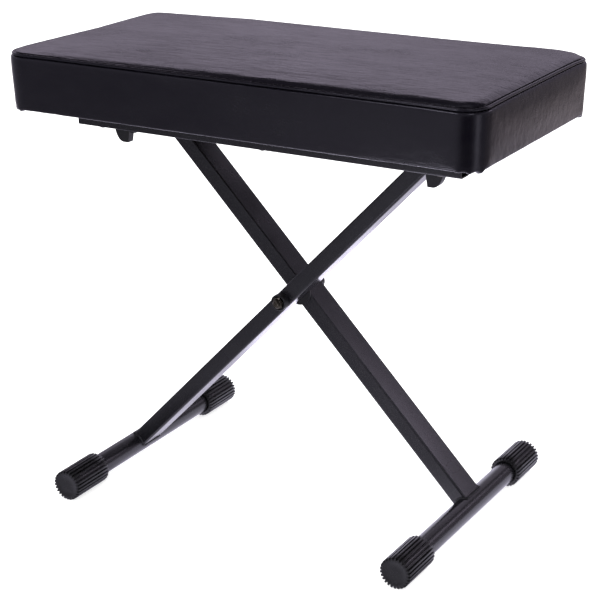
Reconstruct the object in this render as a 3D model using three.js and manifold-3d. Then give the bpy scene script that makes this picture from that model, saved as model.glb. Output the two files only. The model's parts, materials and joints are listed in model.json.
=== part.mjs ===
// Folding keyboard bench: a padded seat on one crossed pair of steel legs.
// Millimetres, +Z up, X along the seat's length, origin on the floor below the seat's centre.

import * as THREE from 'three';
import { mergeVertices } from 'three/addons/utils/BufferGeometryUtils.js';
import Module from 'manifold-3d';

const solids = await Module();
solids.setup();

// Clearances
const FIXED_GAP = 0.1;
const RUNNING_GAP = 0.3;

// Crossed legs
const LEG_LEAN = 46.2;
const LOWER_ARM = 326;
const UPPER_ARM = 278;
const LEG_WIDTH = 20;
const LEG_DEPTH = 37;
const LEG_CORNER = 2.5;
const LEG_WALL = 1.6;
const LEG_SPACING = 2.5;
// How far the crossed legs stand off the seat's middle, towards +X
const LEG_SHIFT = 2;

// Foot bars and their ribbed caps
const FOOT_BAR_RADIUS = 13.2;
const FOOT_BAR_WALL = 1.6;
const FOOT_SPAN = 354;
const CAP_RADIUS = 19;
const CAP_LENGTH = 62;
const CAP_END = 4;
const CAP_GROOVE = 1.3;
const CAP_RIBS = 26;
const CAP_LIP = 1.2;
// Shares of one rib's pitch, counted from its middle, and of the groove's depth there
const RIB_FLAT_SHARE = 0.16;
const RIB_ANGLE_SHARES = [-0.34, -RIB_FLAT_SHARE, RIB_FLAT_SHARE, 0.34, 0.5];
const RIB_RISE_SHARES = [0.75, 1, 1, 0.75, 0];

// Cross tubes at the legs' upper ends
const CROSS_RADIUS = 12.7;
const CROSS_WALL = 1.6;
const PLUG_HEAD = 2;
const PLUG_STEM = 12;
const PLUG_BEVEL = 0.8;
const PLUG_CUP_WALL = 2;

// Pivot between the legs
const BOLT_RADIUS = 4;
const HEX_RADIUS = 7.5;
const HEX_HEIGHT = 6.5;
const BOLT_TIP = 2;
const BOSS_RADIUS = 10;
const BOSS_LENGTH = 9;
const BOSS_BEVEL = 1;
const BOSS_RECESS = 3;
const BOSS_RECESS_RADIUS = 8.2;
const SPACER_RADIUS = 17;

// Seat rails
const RAIL_END_INSET = 53;
const RAIL_WIDTH = 20;
const RAIL_HEIGHT = 29.5;
const RAIL_CORNER = 2;
const RAIL_WALL = 1.5;
const RAIL_FACE = 82;
const RAIL_HOLE_RADIUS = 2.6;
const RAIL_HOLE_INSET = 8;

// Saddles that hold the cross tubes under the seat
const SADDLE_THICKNESS = 10;
const SADDLE_WALL = 12.5;
const SADDLE_LIP = 15;
const SADDLE_LIP_REACH = 4;
const SADDLE_SLANT = 2.5;
const SADDLE_ARM = 16;
const SADDLE_RAIL_GAP = 3;
const SEAT_OVER_TUBE = 10;
const STRAP_THICKNESS = 2.6;

// Seat board and cushion
const SEAT_LENGTH = 610;
const SEAT_DEPTH = 309.4;
const SEAT_CORNER = 30;
const SIDE_HEIGHT = 65;
const CROWN_HEIGHT = 9;
const BOARD_THICKNESS = 12;
const BOARD_INSET = 15;
const BOARD_CORNER = 16;
const SEAM_INSET = 1.2;
const SEAM_BEAD = 1.1;
const SEAM_BEAD_HEIGHT = 4.4;
const HEM_RADIUS = 3.5;
const HEM_INSET = 2.4;

// Shares of the cushion's side height, and of the draw-in that applies there
const SIDE_HEIGHT_SHARES = [0.12, 0.3, 0.5, 0.68, 0.84];
const SIDE_DRAW_SHARES = [0.82, 0.45, 0.12, 0, 0.3];
// Shares of the half depth at which the crown's rings lie
const CROWN_RING_SHARES = [0.04, 0.1, 0.19, 0.32, 0.5, 0.72];
const CROWN_POWER = 3.4;

// Facets
const ROUND_SEGMENTS = 32;
const BOSS_SEGMENTS = 24;
const CORNER_SEGMENTS = 3;
const SEAT_CORNER_SEGMENTS = 6;
const LONG_SIDE_PARTS = 8;
const SHORT_SIDE_PARTS = 4;

// Places that follow from the sizes above
const leanRadians = THREE.MathUtils.degToRad(LEG_LEAN);
const leanSin = Math.sin(leanRadians);
const leanCos = Math.cos(leanRadians);
const footX = (side) => LEG_SHIFT + side * LOWER_ARM * leanCos;
const footZ = CAP_RADIUS * Math.cos((2 * Math.PI * RIB_FLAT_SHARE) / CAP_RIBS);
const pivotZ = footZ + LOWER_ARM * leanSin;
const crossX = (side) => LEG_SHIFT - side * UPPER_ARM * leanCos;
const crossZ = pivotZ + UPPER_ARM * leanSin;
const boardZ = crossZ + CROSS_RADIUS + SEAT_OVER_TUBE;
const legInner = LEG_SPACING / 2;
const legOuter = legInner + LEG_DEPTH;
const railLength = SEAT_LENGTH - 2 * RAIL_END_INSET;
const railInner = RAIL_FACE - RAIL_WIDTH;
const saddleOuter = railInner - SADDLE_RAIL_GAP;
const crossHalf = railInner - RUNNING_GAP - FIXED_GAP - PLUG_HEAD;

// Materials
function paint(hex, roughness, metalness) {
  return new THREE.MeshStandardMaterial({ color: hex, roughness, metalness });
}
const blackSteel = () => paint(0x1f1f22, 0.45, 0.6);
const blackZinc = () => paint(0x2c2b29, 0.4, 0.8);
const blackRubber = () => paint(0x161617, 0.85, 0);
const blackPlastic = () => paint(0x131314, 0.6, 0);
const blackVinyl = () => paint(0x1b1a1f, 0.42, 0);
const darkBoard = () => paint(0x2a231d, 0.85, 0);

// Solids
function solidOf(geometry) {
  const plain = new THREE.BufferGeometry();
  const source = geometry.index ? geometry.toNonIndexed() : geometry;
  plain.setAttribute('position', source.getAttribute('position'));
  const merged = mergeVertices(plain, 1e-4);
  return new solids.Manifold(new solids.Mesh({
    numProp: 3,
    vertProperties: merged.attributes.position.array,
    triVerts: new Uint32Array(merged.index.array),
  }));
}

function geometryOf(solid) {
  const mesh = solid.getMesh();
  const geometry = new THREE.BufferGeometry();
  geometry.setAttribute('position', new THREE.BufferAttribute(mesh.vertProperties, 3));
  geometry.setIndex(new THREE.BufferAttribute(mesh.triVerts, 1));
  return geometry;
}

function cut(geometry, ...tools) {
  let solid = solidOf(geometry);
  for (const tool of tools) solid = solid.subtract(solidOf(tool));
  return geometryOf(solid);
}

function join(...geometries) {
  let solid = solidOf(geometries[0]);
  for (const other of geometries.slice(1)) solid = solid.add(solidOf(other));
  return geometryOf(solid);
}

function piece(name, geometry, material) {
  const mesh = new THREE.Mesh(geometry, material);
  mesh.name = name;
  geometry.computeVertexNormals();
  return mesh;
}

// A rectangle with rounded corners, centred, as a closed list of points that runs anticlockwise
function roundedRectangle(halfX, halfY, radius, cornerSegments, longParts = 1, shortParts = 1) {
  const points = [];
  const corners = [[1, 1], [-1, 1], [-1, -1], [1, -1]];
  corners.forEach(([sx, sy], index) => {
    const start = index * Math.PI / 2;
    const parts = index % 2 === 0 ? longParts : shortParts;
    for (let i = 0; i <= cornerSegments; i += 1) {
      const angle = start + (i / cornerSegments) * Math.PI / 2;
      const x = sx * (halfX - radius) + radius * Math.cos(angle);
      const y = sy * (halfY - radius) + radius * Math.sin(angle);
      points.push(new THREE.Vector2(x, y));
    }
    const last = points[points.length - 1];
    const [nx, ny] = corners[(index + 1) % 4];
    const nextAngle = start + Math.PI / 2;
    const nextX = nx * (halfX - radius) + radius * Math.cos(nextAngle);
    const nextY = ny * (halfY - radius) + radius * Math.sin(nextAngle);
    for (let i = 1; i < parts; i += 1) {
      points.push(last.clone().lerp(new THREE.Vector2(nextX, nextY), i / parts));
    }
  });
  return points;
}

function extrudeShape(points, depth, holes = []) {
  const shape = new THREE.Shape(points);
  for (const hole of holes) shape.holes.push(new THREE.Path(hole));
  return new THREE.ExtrudeGeometry(shape, { depth, bevelEnabled: false, steps: 1 });
}

// A turned piece about the Y axis, from a closed list of [radius, y] pairs
function turned(profile, segments) {
  const points = profile.map(([r, y]) => new THREE.Vector2(r, y));
  return new THREE.LatheGeometry(points, segments);
}

function turnedRod(radius, from, to, segments) {
  return turned([[0, from], [radius, from], [radius, to], [0, to]], segments);
}

function turnedTube(outer, inner, from, to, segments) {
  return turned([[inner, from], [outer, from], [outer, to], [inner, to], [inner, from]], segments);
}

function hexRod(radius, from, to) {
  const rod = new THREE.CylinderGeometry(radius, radius, to - from, 6);
  rod.rotateY(leanRadians);
  rod.translate(0, (from + to) / 2, 0);
  return rod;
}

// Legs: rectangular tube with both ends coped to the round bars they are welded to.
// side is 1 for the leg behind, which leans back to -X, and -1 for the leg in front.
function legTube(name, side) {
  const outline = roundedRectangle(LEG_WIDTH / 2, LEG_DEPTH / 2, LEG_CORNER, CORNER_SEGMENTS);
  const bore = roundedRectangle(
    LEG_WIDTH / 2 - LEG_WALL,
    LEG_DEPTH / 2 - LEG_WALL,
    LEG_CORNER - LEG_WALL,
    CORNER_SEGMENTS,
  );
  const tube = extrudeShape(outline, LOWER_ARM + UPPER_ARM, [bore]);
  tube.translate(0, 0, -LOWER_ARM);
  const reach = LEG_DEPTH;
  const footCope = turnedRod(FOOT_BAR_RADIUS + FIXED_GAP, -reach, reach, ROUND_SEGMENTS);
  footCope.translate(0, 0, -LOWER_ARM);
  const crossCope = turnedRod(CROSS_RADIUS + FIXED_GAP, -reach, reach, ROUND_SEGMENTS);
  crossCope.translate(0, 0, UPPER_ARM);
  const boltHole = turnedRod(BOLT_RADIUS + RUNNING_GAP, -reach, reach, BOSS_SEGMENTS);
  const leg = cut(tube, footCope, crossCope, boltHole);
  leg.rotateY(-side * (Math.PI / 2 - leanRadians));
  leg.translate(LEG_SHIFT, side * (legInner + LEG_DEPTH / 2), pivotZ);
  return piece(name, leg, blackSteel());
}

function footBar(name, side) {
  const half = FOOT_SPAN / 2 - CAP_END - FIXED_GAP;
  const bar = turnedTube(FOOT_BAR_RADIUS, FOOT_BAR_RADIUS - FOOT_BAR_WALL, -half, half, ROUND_SEGMENTS);
  bar.translate(footX(side), 0, footZ);
  return piece(name, bar, blackSteel());
}

// Ribbed rubber cap: a scalloped sleeve with a smooth end, pushed over the bar.
// The middle of a rib's flat top is its lowest line, and stands on the floor.
// facing is -1 for the front end of the bar and 1 for the back end.
function footCap(name, side, facing) {
  const outline = [];
  for (let rib = 0; rib < CAP_RIBS; rib += 1) {
    RIB_ANGLE_SHARES.forEach((share, i) => {
      const angle = ((rib + share) / CAP_RIBS) * 2 * Math.PI;
      const radius = CAP_RADIUS - CAP_GROOVE * (1 - RIB_RISE_SHARES[i]);
      outline.push(new THREE.Vector2(radius * Math.sin(angle), -radius * Math.cos(angle)));
    });
  }
  const body = extrudeShape(outline, CAP_LENGTH);
  body.rotateX(Math.PI / 2);
  body.translate(0, FOOT_SPAN / 2, 0);
  const inside = FOOT_SPAN / 2 - CAP_END;
  const mouth = FOOT_SPAN / 2 - CAP_LENGTH;
  const boreRadius = FOOT_BAR_RADIUS + FIXED_GAP;
  const bore = turned([
    [0, mouth - CAP_LIP],
    [boreRadius + 2 * CAP_LIP, mouth - CAP_LIP],
    [boreRadius, mouth + CAP_LIP],
    [boreRadius, inside],
    [0, inside],
  ], ROUND_SEGMENTS);
  const cap = cut(body, bore);
  if (facing < 0) cap.rotateZ(Math.PI);
  cap.translate(footX(side), 0, footZ);
  return piece(name, cap, blackRubber());
}

function crossTube(name, side) {
  const tube = turnedTube(
    CROSS_RADIUS,
    CROSS_RADIUS - CROSS_WALL,
    -crossHalf,
    crossHalf,
    ROUND_SEGMENTS,
  );
  tube.translate(crossX(side), 0, crossZ);
  return piece(name, tube, blackSteel());
}

// End plug of a cross tube: a bevelled head with a hollow stem inside the tube.
function crossPlug(name, side, facing) {
  const stemRadius = CROSS_RADIUS - CROSS_WALL - FIXED_GAP;
  const face = crossHalf + FIXED_GAP;
  const plug = turned([
    [0, face],
    [stemRadius - PLUG_CUP_WALL, face],
    [stemRadius - PLUG_CUP_WALL, face - PLUG_STEM],
    [stemRadius, face - PLUG_STEM],
    [stemRadius, face],
    [CROSS_RADIUS, face],
    [CROSS_RADIUS, face + PLUG_HEAD - PLUG_BEVEL],
    [CROSS_RADIUS - PLUG_BEVEL, face + PLUG_HEAD],
    [0, face + PLUG_HEAD],
  ], ROUND_SEGMENTS);
  if (facing < 0) plug.rotateZ(Math.PI);
  plug.translate(crossX(side), 0, crossZ);
  return piece(name, plug, blackPlastic());
}

// Pivot hardware, all on one line through both legs
const bossFoot = legOuter + RUNNING_GAP;
const bossFace = bossFoot + BOSS_LENGTH;
const hexSeat = bossFace - BOSS_RECESS + FIXED_GAP;

function pivotBoss(name, facing) {
  const boss = turned([
    [BOLT_RADIUS + FIXED_GAP, bossFoot],
    [BOSS_RADIUS, bossFoot],
    [BOSS_RADIUS, bossFace - BOSS_BEVEL],
    [BOSS_RADIUS - BOSS_BEVEL, bossFace],
    [BOSS_RECESS_RADIUS, bossFace],
    [BOSS_RECESS_RADIUS, bossFace - BOSS_RECESS],
    [BOLT_RADIUS + FIXED_GAP, bossFace - BOSS_RECESS],
    [BOLT_RADIUS + FIXED_GAP, bossFoot],
  ], BOSS_SEGMENTS);
  if (facing < 0) boss.rotateZ(Math.PI);
  boss.translate(LEG_SHIFT, 0, pivotZ);
  return piece(name, boss, blackPlastic());
}

function pivotBolt() {
  const shank = turnedRod(BOLT_RADIUS, -hexSeat - HEX_HEIGHT - BOLT_TIP, hexSeat + BOLT_TIP, BOSS_SEGMENTS);
  const bolt = join(shank, hexRod(HEX_RADIUS, hexSeat, hexSeat + HEX_HEIGHT));
  bolt.translate(LEG_SHIFT, 0, pivotZ);
  return piece('pivot_bolt', bolt, blackZinc());
}

function pivotNut() {
  const body = hexRod(HEX_RADIUS, -hexSeat - HEX_HEIGHT, -hexSeat);
  const bore = turnedRod(BOLT_RADIUS + FIXED_GAP, -hexSeat - 2 * HEX_HEIGHT, 0, BOSS_SEGMENTS);
  const nut = cut(body, bore);
  nut.translate(LEG_SHIFT, 0, pivotZ);
  return piece('pivot_nut', nut, blackZinc());
}

function pivotSpacer() {
  const half = legInner - RUNNING_GAP;
  const disc = turnedTube(SPACER_RADIUS, BOLT_RADIUS + RUNNING_GAP, -half, half, ROUND_SEGMENTS);
  disc.translate(LEG_SHIFT, 0, pivotZ);
  return piece('pivot_spacer', disc, blackPlastic());
}

// Seat rails: rectangular tube with open ends and a small hole near each end of the outer wall.
function seatRail(name, facing) {
  const outline = roundedRectangle(RAIL_WIDTH / 2, RAIL_HEIGHT / 2, RAIL_CORNER, CORNER_SEGMENTS);
  const bore = roundedRectangle(
    RAIL_WIDTH / 2 - RAIL_WALL,
    RAIL_HEIGHT / 2 - RAIL_WALL,
    RAIL_CORNER - RAIL_WALL,
    CORNER_SEGMENTS,
  );
  const tube = extrudeShape(outline, railLength, [bore]);
  tube.translate(0, 0, -railLength / 2);
  tube.rotateY(Math.PI / 2);
  tube.rotateX(Math.PI / 2);
  const holes = [-1, 1].map((end) => {
    const hole = turnedRod(RAIL_HOLE_RADIUS, 0, RAIL_WIDTH, BOSS_SEGMENTS / 2);
    hole.translate(end * (railLength / 2 - RAIL_HOLE_INSET), 0, 0);
    return hole;
  });
  const rail = cut(tube, ...holes);
  if (facing < 0) rail.rotateZ(Math.PI);
  rail.translate(0, facing * (RAIL_FACE - RAIL_WIDTH / 2), boardZ - FIXED_GAP - RAIL_HEIGHT / 2);
  return piece(name, rail, blackSteel());
}

// Saddle: a hook round the outer half of a cross tube, open towards the middle of the seat.
// side is 1 for the fixed end at -X and -1 for the sliding end at +X.
function saddle(name, side, facing) {
  const slot = CROSS_RADIUS + RUNNING_GAP;
  const top = boardZ - FIXED_GAP - crossZ;
  const outer = slot + SADDLE_WALL;
  const bottom = -slot - SADDLE_LIP;
  const shape = new THREE.Shape();
  shape.moveTo(-SADDLE_ARM, slot);
  shape.lineTo(0, slot);
  const lipAngle = -Math.acos(SADDLE_LIP_REACH / slot);
  shape.absarc(0, 0, slot, Math.PI / 2, lipAngle, true);
  shape.lineTo(SADDLE_LIP_REACH + SADDLE_SLANT, bottom);
  shape.lineTo(slot, bottom);
  shape.absellipse(slot, -slot / 2, SADDLE_WALL, -slot / 2 - bottom, -Math.PI / 2, 0, false, 0);
  shape.lineTo(outer, top);
  shape.lineTo(-SADDLE_ARM, top);
  const hook = new THREE.ExtrudeGeometry(shape, {
    depth: SADDLE_THICKNESS,
    bevelEnabled: false,
    curveSegments: 12,
  });
  hook.rotateX(Math.PI / 2);
  hook.translate(0, SADDLE_THICKNESS / 2, 0);
  if (side > 0) hook.rotateZ(Math.PI);
  hook.translate(crossX(side), facing * (saddleOuter - SADDLE_THICKNESS / 2), crossZ);
  return piece(name, hook, blackPlastic());
}

// Strap: closes a fixed saddle's open side, so that the tube can turn in it but not leave it.
function hingeStrap(name, facing) {
  const inner = CROSS_RADIUS + RUNNING_GAP;
  const outer = inner + STRAP_THICKNESS;
  const lipFace = SADDLE_LIP_REACH - FIXED_GAP;
  const outerEnd = 2 * Math.PI - Math.acos(lipFace / outer);
  const innerEnd = 2 * Math.PI - Math.acos(lipFace / inner);
  const shape = new THREE.Shape();
  shape.moveTo(-outer, inner - FIXED_GAP);
  shape.lineTo(-outer, 0);
  shape.absarc(0, 0, outer, Math.PI, outerEnd, false);
  shape.absarc(0, 0, inner, innerEnd, Math.PI, true);
  shape.lineTo(-inner, inner - FIXED_GAP);
  const strap = new THREE.ExtrudeGeometry(shape, {
    depth: SADDLE_THICKNESS,
    bevelEnabled: false,
    curveSegments: 10,
  });
  strap.rotateX(Math.PI / 2);
  strap.translate(0, SADDLE_THICKNESS / 2, 0);
  strap.rotateZ(Math.PI);
  strap.translate(crossX(1), facing * (saddleOuter - SADDLE_THICKNESS / 2), crossZ);
  return piece(name, strap, blackSteel());
}

function seatBoard() {
  const outline = roundedRectangle(
    SEAT_LENGTH / 2 - BOARD_INSET,
    SEAT_DEPTH / 2 - BOARD_INSET,
    BOARD_CORNER,
    SEAT_CORNER_SEGMENTS,
  );
  const board = extrudeShape(outline, BOARD_THICKNESS);
  board.translate(0, 0, boardZ);
  return piece('seat_board', board, darkBoard());
}

// One closed ring of the cushion: the outline drawn in by inset, at the height the caller gives.
function cushionRing(inset, heightAt) {
  const halfX = SEAT_LENGTH / 2 - inset;
  const halfY = SEAT_DEPTH / 2 - inset;
  const radius = Math.max(SEAT_CORNER - inset, (SEAT_CORNER * halfY) / SEAT_DEPTH);
  const points = roundedRectangle(
    halfX,
    halfY,
    Math.min(radius, SEAT_CORNER),
    SEAT_CORNER_SEGMENTS,
    LONG_SIDE_PARTS,
    SHORT_SIDE_PARTS,
  );
  return points.map((p) => new THREE.Vector3(p.x, p.y, heightAt(p.x, p.y)));
}

// Skin over a stack of rings of equal count, closed by a flat fill of the first and the last ring
function skin(rings) {
  const count = rings[0].length;
  const positions = rings.flat().flatMap((p) => [p.x, p.y, p.z]);
  const index = [];
  for (let r = 0; r + 1 < rings.length; r += 1) {
    for (let i = 0; i < count; i += 1) {
      const a = r * count + i;
      const b = r * count + ((i + 1) % count);
      index.push(a, b, b + count, a, b + count, a + count);
    }
  }
  const fill = (ring, offset, upward) => {
    const flat = ring.map((p) => new THREE.Vector2(p.x, p.y));
    for (const [a, b, c] of THREE.ShapeUtils.triangulateShape(flat, [])) {
      index.push(offset + a, offset + (upward ? b : c), offset + (upward ? c : b));
    }
  };
  fill(rings[0], 0, false);
  fill(rings[rings.length - 1], (rings.length - 1) * count, true);
  const geometry = new THREE.BufferGeometry();
  geometry.setAttribute('position', new THREE.Float32BufferAttribute(positions, 3));
  geometry.setIndex(index);
  return geometry;
}

// Cushion: sides drawn in towards the hem, a bead along the upper seam, a crown on top,
// and a pocket below that the board lies in.
function cushion() {
  const seamZ = boardZ + SIDE_HEIGHT;
  const at = (z) => () => z;
  const rings = [];
  const pocketInset = BOARD_INSET - FIXED_GAP;
  const pocketTop = boardZ + BOARD_THICKNESS + FIXED_GAP;
  const hemRise = HEM_RADIUS * (1 - Math.SQRT1_2);
  rings.push(cushionRing(HEM_INSET + HEM_RADIUS, at(boardZ)));
  rings.push(cushionRing(HEM_INSET + hemRise, at(boardZ + hemRise)));
  SIDE_HEIGHT_SHARES.forEach((share, i) => {
    rings.push(cushionRing(HEM_INSET * SIDE_DRAW_SHARES[i], at(boardZ + SIDE_HEIGHT * share)));
  });
  rings.push(cushionRing(SEAM_INSET + SEAM_BEAD, at(seamZ - SEAM_BEAD_HEIGHT / 2)));
  rings.push(cushionRing(SEAM_INSET, at(seamZ - SEAM_BEAD_HEIGHT / 4)));
  rings.push(cushionRing(SEAM_INSET, at(seamZ + SEAM_BEAD_HEIGHT / 4)));
  rings.push(cushionRing(SEAM_INSET + SEAM_BEAD, at(seamZ + SEAM_BEAD_HEIGHT / 2)));
  rings.push(cushionRing(SEAM_INSET + 2 * SEAM_BEAD, at(seamZ + SEAM_BEAD_HEIGHT / 4)));
  const crown = (x, y) => {
    const alongX = 1 - Math.abs(x / (SEAT_LENGTH / 2)) ** (2 * CROWN_POWER);
    const alongY = 1 - Math.abs(y / (SEAT_DEPTH / 2)) ** CROWN_POWER;
    return seamZ + SEAM_BEAD_HEIGHT / 4 + (CROWN_HEIGHT - SEAM_BEAD_HEIGHT / 4) * alongX * alongY;
  };
  for (const share of CROWN_RING_SHARES) {
    rings.push(cushionRing((share * SEAT_DEPTH) / 2, crown));
  }
  const outside = skin(rings);
  const pocketOutline = roundedRectangle(
    SEAT_LENGTH / 2 - pocketInset,
    SEAT_DEPTH / 2 - pocketInset,
    BOARD_CORNER,
    SEAT_CORNER_SEGMENTS,
  );
  const pocket = extrudeShape(pocketOutline, pocketTop - boardZ + HEM_RADIUS);
  pocket.translate(0, 0, boardZ - HEM_RADIUS);
  return piece('cushion', cut(outside, pocket), blackVinyl());
}

// Assembly
const bench = new THREE.Group();
bench.name = 'keyboard_bench';

const ends = [['front', -1], ['back', 1]];
for (const [letter, side] of [['a', 1], ['b', -1]]) {
  bench.add(legTube(`leg_${letter}`, side));
  bench.add(footBar(`foot_bar_${letter}`, side));
  bench.add(crossTube(`cross_tube_${letter}`, side));
  for (const [end, facing] of ends) {
    bench.add(footCap(`foot_cap_${letter}_${end}`, side, facing));
    bench.add(crossPlug(`cross_plug_${letter}_${end}`, side, facing));
    bench.add(saddle(`saddle_${letter}_${end}`, side, facing));
  }
}
for (const [end, facing] of ends) {
  bench.add(pivotBoss(`pivot_boss_${end}`, facing));
  bench.add(seatRail(`seat_rail_${end}`, facing));
  bench.add(hingeStrap(`hinge_strap_${end}`, facing));
}
bench.add(pivotBolt());
bench.add(pivotNut());
bench.add(pivotSpacer());
bench.add(seatBoard());
bench.add(cushion());

export default bench;
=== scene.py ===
"""Looks of a folding keyboard bench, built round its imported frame.

Metres, +Z up, +X along the seat, the front of the bench towards -Y.
"""

import json
import math

import bmesh
import bpy
import numpy as np
from mathutils import Matrix, Vector, kdtree, noise


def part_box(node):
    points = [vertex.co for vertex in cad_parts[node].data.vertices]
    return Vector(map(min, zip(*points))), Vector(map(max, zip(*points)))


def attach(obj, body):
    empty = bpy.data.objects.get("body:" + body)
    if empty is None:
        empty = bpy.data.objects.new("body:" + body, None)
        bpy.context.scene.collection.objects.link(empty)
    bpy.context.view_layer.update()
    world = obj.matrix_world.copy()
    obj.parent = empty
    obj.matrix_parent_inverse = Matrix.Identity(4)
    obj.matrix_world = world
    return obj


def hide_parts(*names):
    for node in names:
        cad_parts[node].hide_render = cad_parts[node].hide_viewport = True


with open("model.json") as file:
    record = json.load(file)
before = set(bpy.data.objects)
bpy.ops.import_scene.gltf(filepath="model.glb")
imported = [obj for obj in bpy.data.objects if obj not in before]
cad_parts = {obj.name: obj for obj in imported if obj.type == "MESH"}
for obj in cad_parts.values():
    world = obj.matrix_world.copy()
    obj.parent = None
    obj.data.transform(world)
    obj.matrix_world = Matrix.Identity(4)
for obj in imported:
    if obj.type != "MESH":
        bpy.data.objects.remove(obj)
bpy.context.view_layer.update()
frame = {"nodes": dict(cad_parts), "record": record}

MM = 0.001

# Camera, as found from the photograph's edges
CAMERA_PLACE = Vector((1.0011, -1.6786, 0.9531))
CAMERA_AZIMUTH = 30.709
CAMERA_ELEVATION = 19.976
CAMERA_ROLL = -0.628
CAMERA_LENS = 103.7
CAMERA_SENSOR = 36.0

# Studio
FLOOR_HALF = 16.0
FLOOR_DROP = 0.2 * MM
FLOOR_SHINE = 0.66
CEILING_SIZE = 14.0
CEILING_HEIGHT = 5.0
CEILING_POWER = 480.0
WORLD_GLOW = 1.0

# The bowl that only reflections meet; azimuths are in degrees, from the front towards +X
SURROUND_STEPS = 180
SURROUND_RADII = [
    0.0, 0.05, 0.1, 0.15, 0.2, 0.25, 0.3, 0.35, 0.4, 0.45, 0.5, 0.56, 0.62, 0.66, 0.7, 0.78, 0.86,
    1.0, 1.3, 1.6, 1.9, 2.2, 2.5, 2.8, 3.0,
]
SURROUND_HEIGHTS = [
    0.3, 0.45, 0.6, 0.8, 0.95, 1.1, 1.2, 1.3, 1.4, 1.5, 1.65, 1.78, 1.82, 1.86, 1.9, 1.94, 2.1,
    2.3, 2.6, 2.9, 3.2, 4.5,
]
SURROUND_TOP = 5.0
SURROUND_TOP_RADII = [2.6, 2.2, 1.8, 1.4, 1.0, 0.6, 0.01]
FRONT_TINT = (1.0, 0.955, 1.17)
BACK_TINT = (1.08, 0.955, 1.21)
WARM_TINT = (1.13, 0.97, 1.04)
# Fades: where each starts and ends and, in rows of four, the glow before and after it
BEHIND_FADE = (55, 85)
BACK_FLOOR = (1.5, 2.5, 1.0, 0.38)
FRONT_FLOOR = (0.1, 0.6, 0.64, 0.31)
FAR_FADE = (0.7, 1.2)
WARM_FADE = (0.6, 2.0)
WALL_FOOT_FADE = (0.2, 0.8)
WALL_TOP_FADE = (2.2, 3.2)
DARK_WALL = 0.05
TOP_FADE = (0.9, 2.2, 0.39, 0.05)
# Brightness of the floor at a distance, by azimuth; near straight back it also fades with distance
FAR_FLOOR = [
    (-130, 1.0), (-95, 0.32), (-46, 0.20), (-38, 0.21), (-30, 0.28), (-24, 0.42), (-17, 0.46),
    (-8, 0.44), (5, 0.36), (12, 0.26), (18, 0.13), (24, 0.03), (28, 0.0), (50, 0.0), (57, 0.06),
    (64, 0.28), (70, 0.65), (76, 1.0), (81, 0.80), (87, 0.32), (94, 0.18), (104, 0.17),
    (122, 0.18), (134, 0.20), (142, 0.26), (147, 0.47), (151, 0.69), (157, 0.8),
]
BACK_SECTOR = 50
# Brightness of the walls in front and beside, by azimuth
FRONT_WALL = [
    (-180, 0.42), (-60, 0.36), (-42, 0.36), (-20, 0.34), (0, 0.32), (30, 0.28), (90, 0.3),
    (180, 0.42),
]
# Brightness of the backdrop behind the bench, by height, and its losses: share, start and end
BACKDROP = [
    (0.0, 0.44), (0.8, 0.32), (0.95, 0.37), (1.1, 0.56), (1.2, 0.70), (1.5, 0.87), (1.78, 0.92),
    (1.86, 0.5), (1.94, 0.14), (2.3, 0.08), (4.5, 0.05),
]
BACKDROP_LOSSES = [(0.14, 213, 203), (0.10, 204, 197), (0.12, 211, 216)]
# Brightness of the backdrop towards the right, by height, and where it fades in and out
SIDE_BACKDROP = [
    (0.0, 0.3), (1.3, 0.28), (1.5, 0.24), (1.76, 0.18), (1.85, 0.24), (1.93, 0.28), (2.0, 0.05),
    (2.3, 0.03), (4.5, 0.05),
]
SIDE_SECTOR = (135, 145, 166, 172)
# Cards of light: glow, azimuths of the fades in and out, and the same by reach, which is the
# distance on the floor and the height on the walls
LOW_CARD = (5.0, (-16, -10, 6, 12), (0.5, 0.62, 0.7, 0.85))
REAR_CARD = (3.2, (186, 196, 214, 224), (0.25, 0.35, 0.65, 0.78))
GLINT_CARD = (7.0, (-28, -25, -12, -6), (1.78, 2.1, 2.9, 3.2))
CORNER_CARD = (3.0, (42, 48, 58, 64), (1.78, 2.1, 2.9, 3.2))
SIDE_CARD = (3.0, (135, 138, 147, 150), (1.3, 1.4, 1.95, 2.1))
TALL_CARD = (0.66, (164, 170, 206, 210), (1.0, 1.3, 2.3, 2.5))
# A pale patch by the left foot, with its fades by place and distance
FEET_GLOW = 1.25
FEET_X_FADE = (-0.36, -0.28)
FEET_Y_FADE = (-0.12, -0.05)
FEET_FADE = (0.45, 0.8)
# A low strip of light behind the bench, which the round bars mirror
STRIP_RADIUS = 0.8
STRIP_HEIGHTS = [0.0, 0.15, 0.3, 0.4, 0.5]
STRIP_FADE = (0.25, 0.5, 1.0, 0.6)
STRIP_AZIMUTHS = (182, 238, 2)
STRIP_GLOW = [(182, 0.5), (188, 1.3), (194, 1.7), (202, 1.6), (214, 1.2), (226, 1.0), (238, 0.9)]

# Cushion, apart from what the frame gives; heights are above the board's underside
SEAM_HEIGHT = 64.7 * MM
SEAT_CORNER = 30 * MM
SHARPEST_CORNER = 14 * MM
CROWN_EDGE = 1.9 * MM
# The crown's slope in degrees, by distance in from the outline in millimetres
CROWN_SLOPES = [
    (7.0, 28), (9, 25), (12, 18.5), (15, 11), (17, 5.5), (19, 3.4), (24, 2.6), (40, 1.8),
    (60, 1.2), (100, 0.6), (155, 0),
]
CROWN_STEPS = 600
# Where the crown stops following the outline and follows the seat's axes
CROWN_BLEND = (8 * MM, 34 * MM)
# How far the side is drawn in, by height, both in millimetres
SIDE_PROFILE = [
    (2.4, 2.9), (5.0, 2.5), (8.0, 2.2), (19.5, 1.1), (32.5, 0.3), (44.2, 0.0), (54.6, 0.4),
    (58.5, 0.65), (60.6, 0.9), (61.6, 1.2),
]
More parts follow.
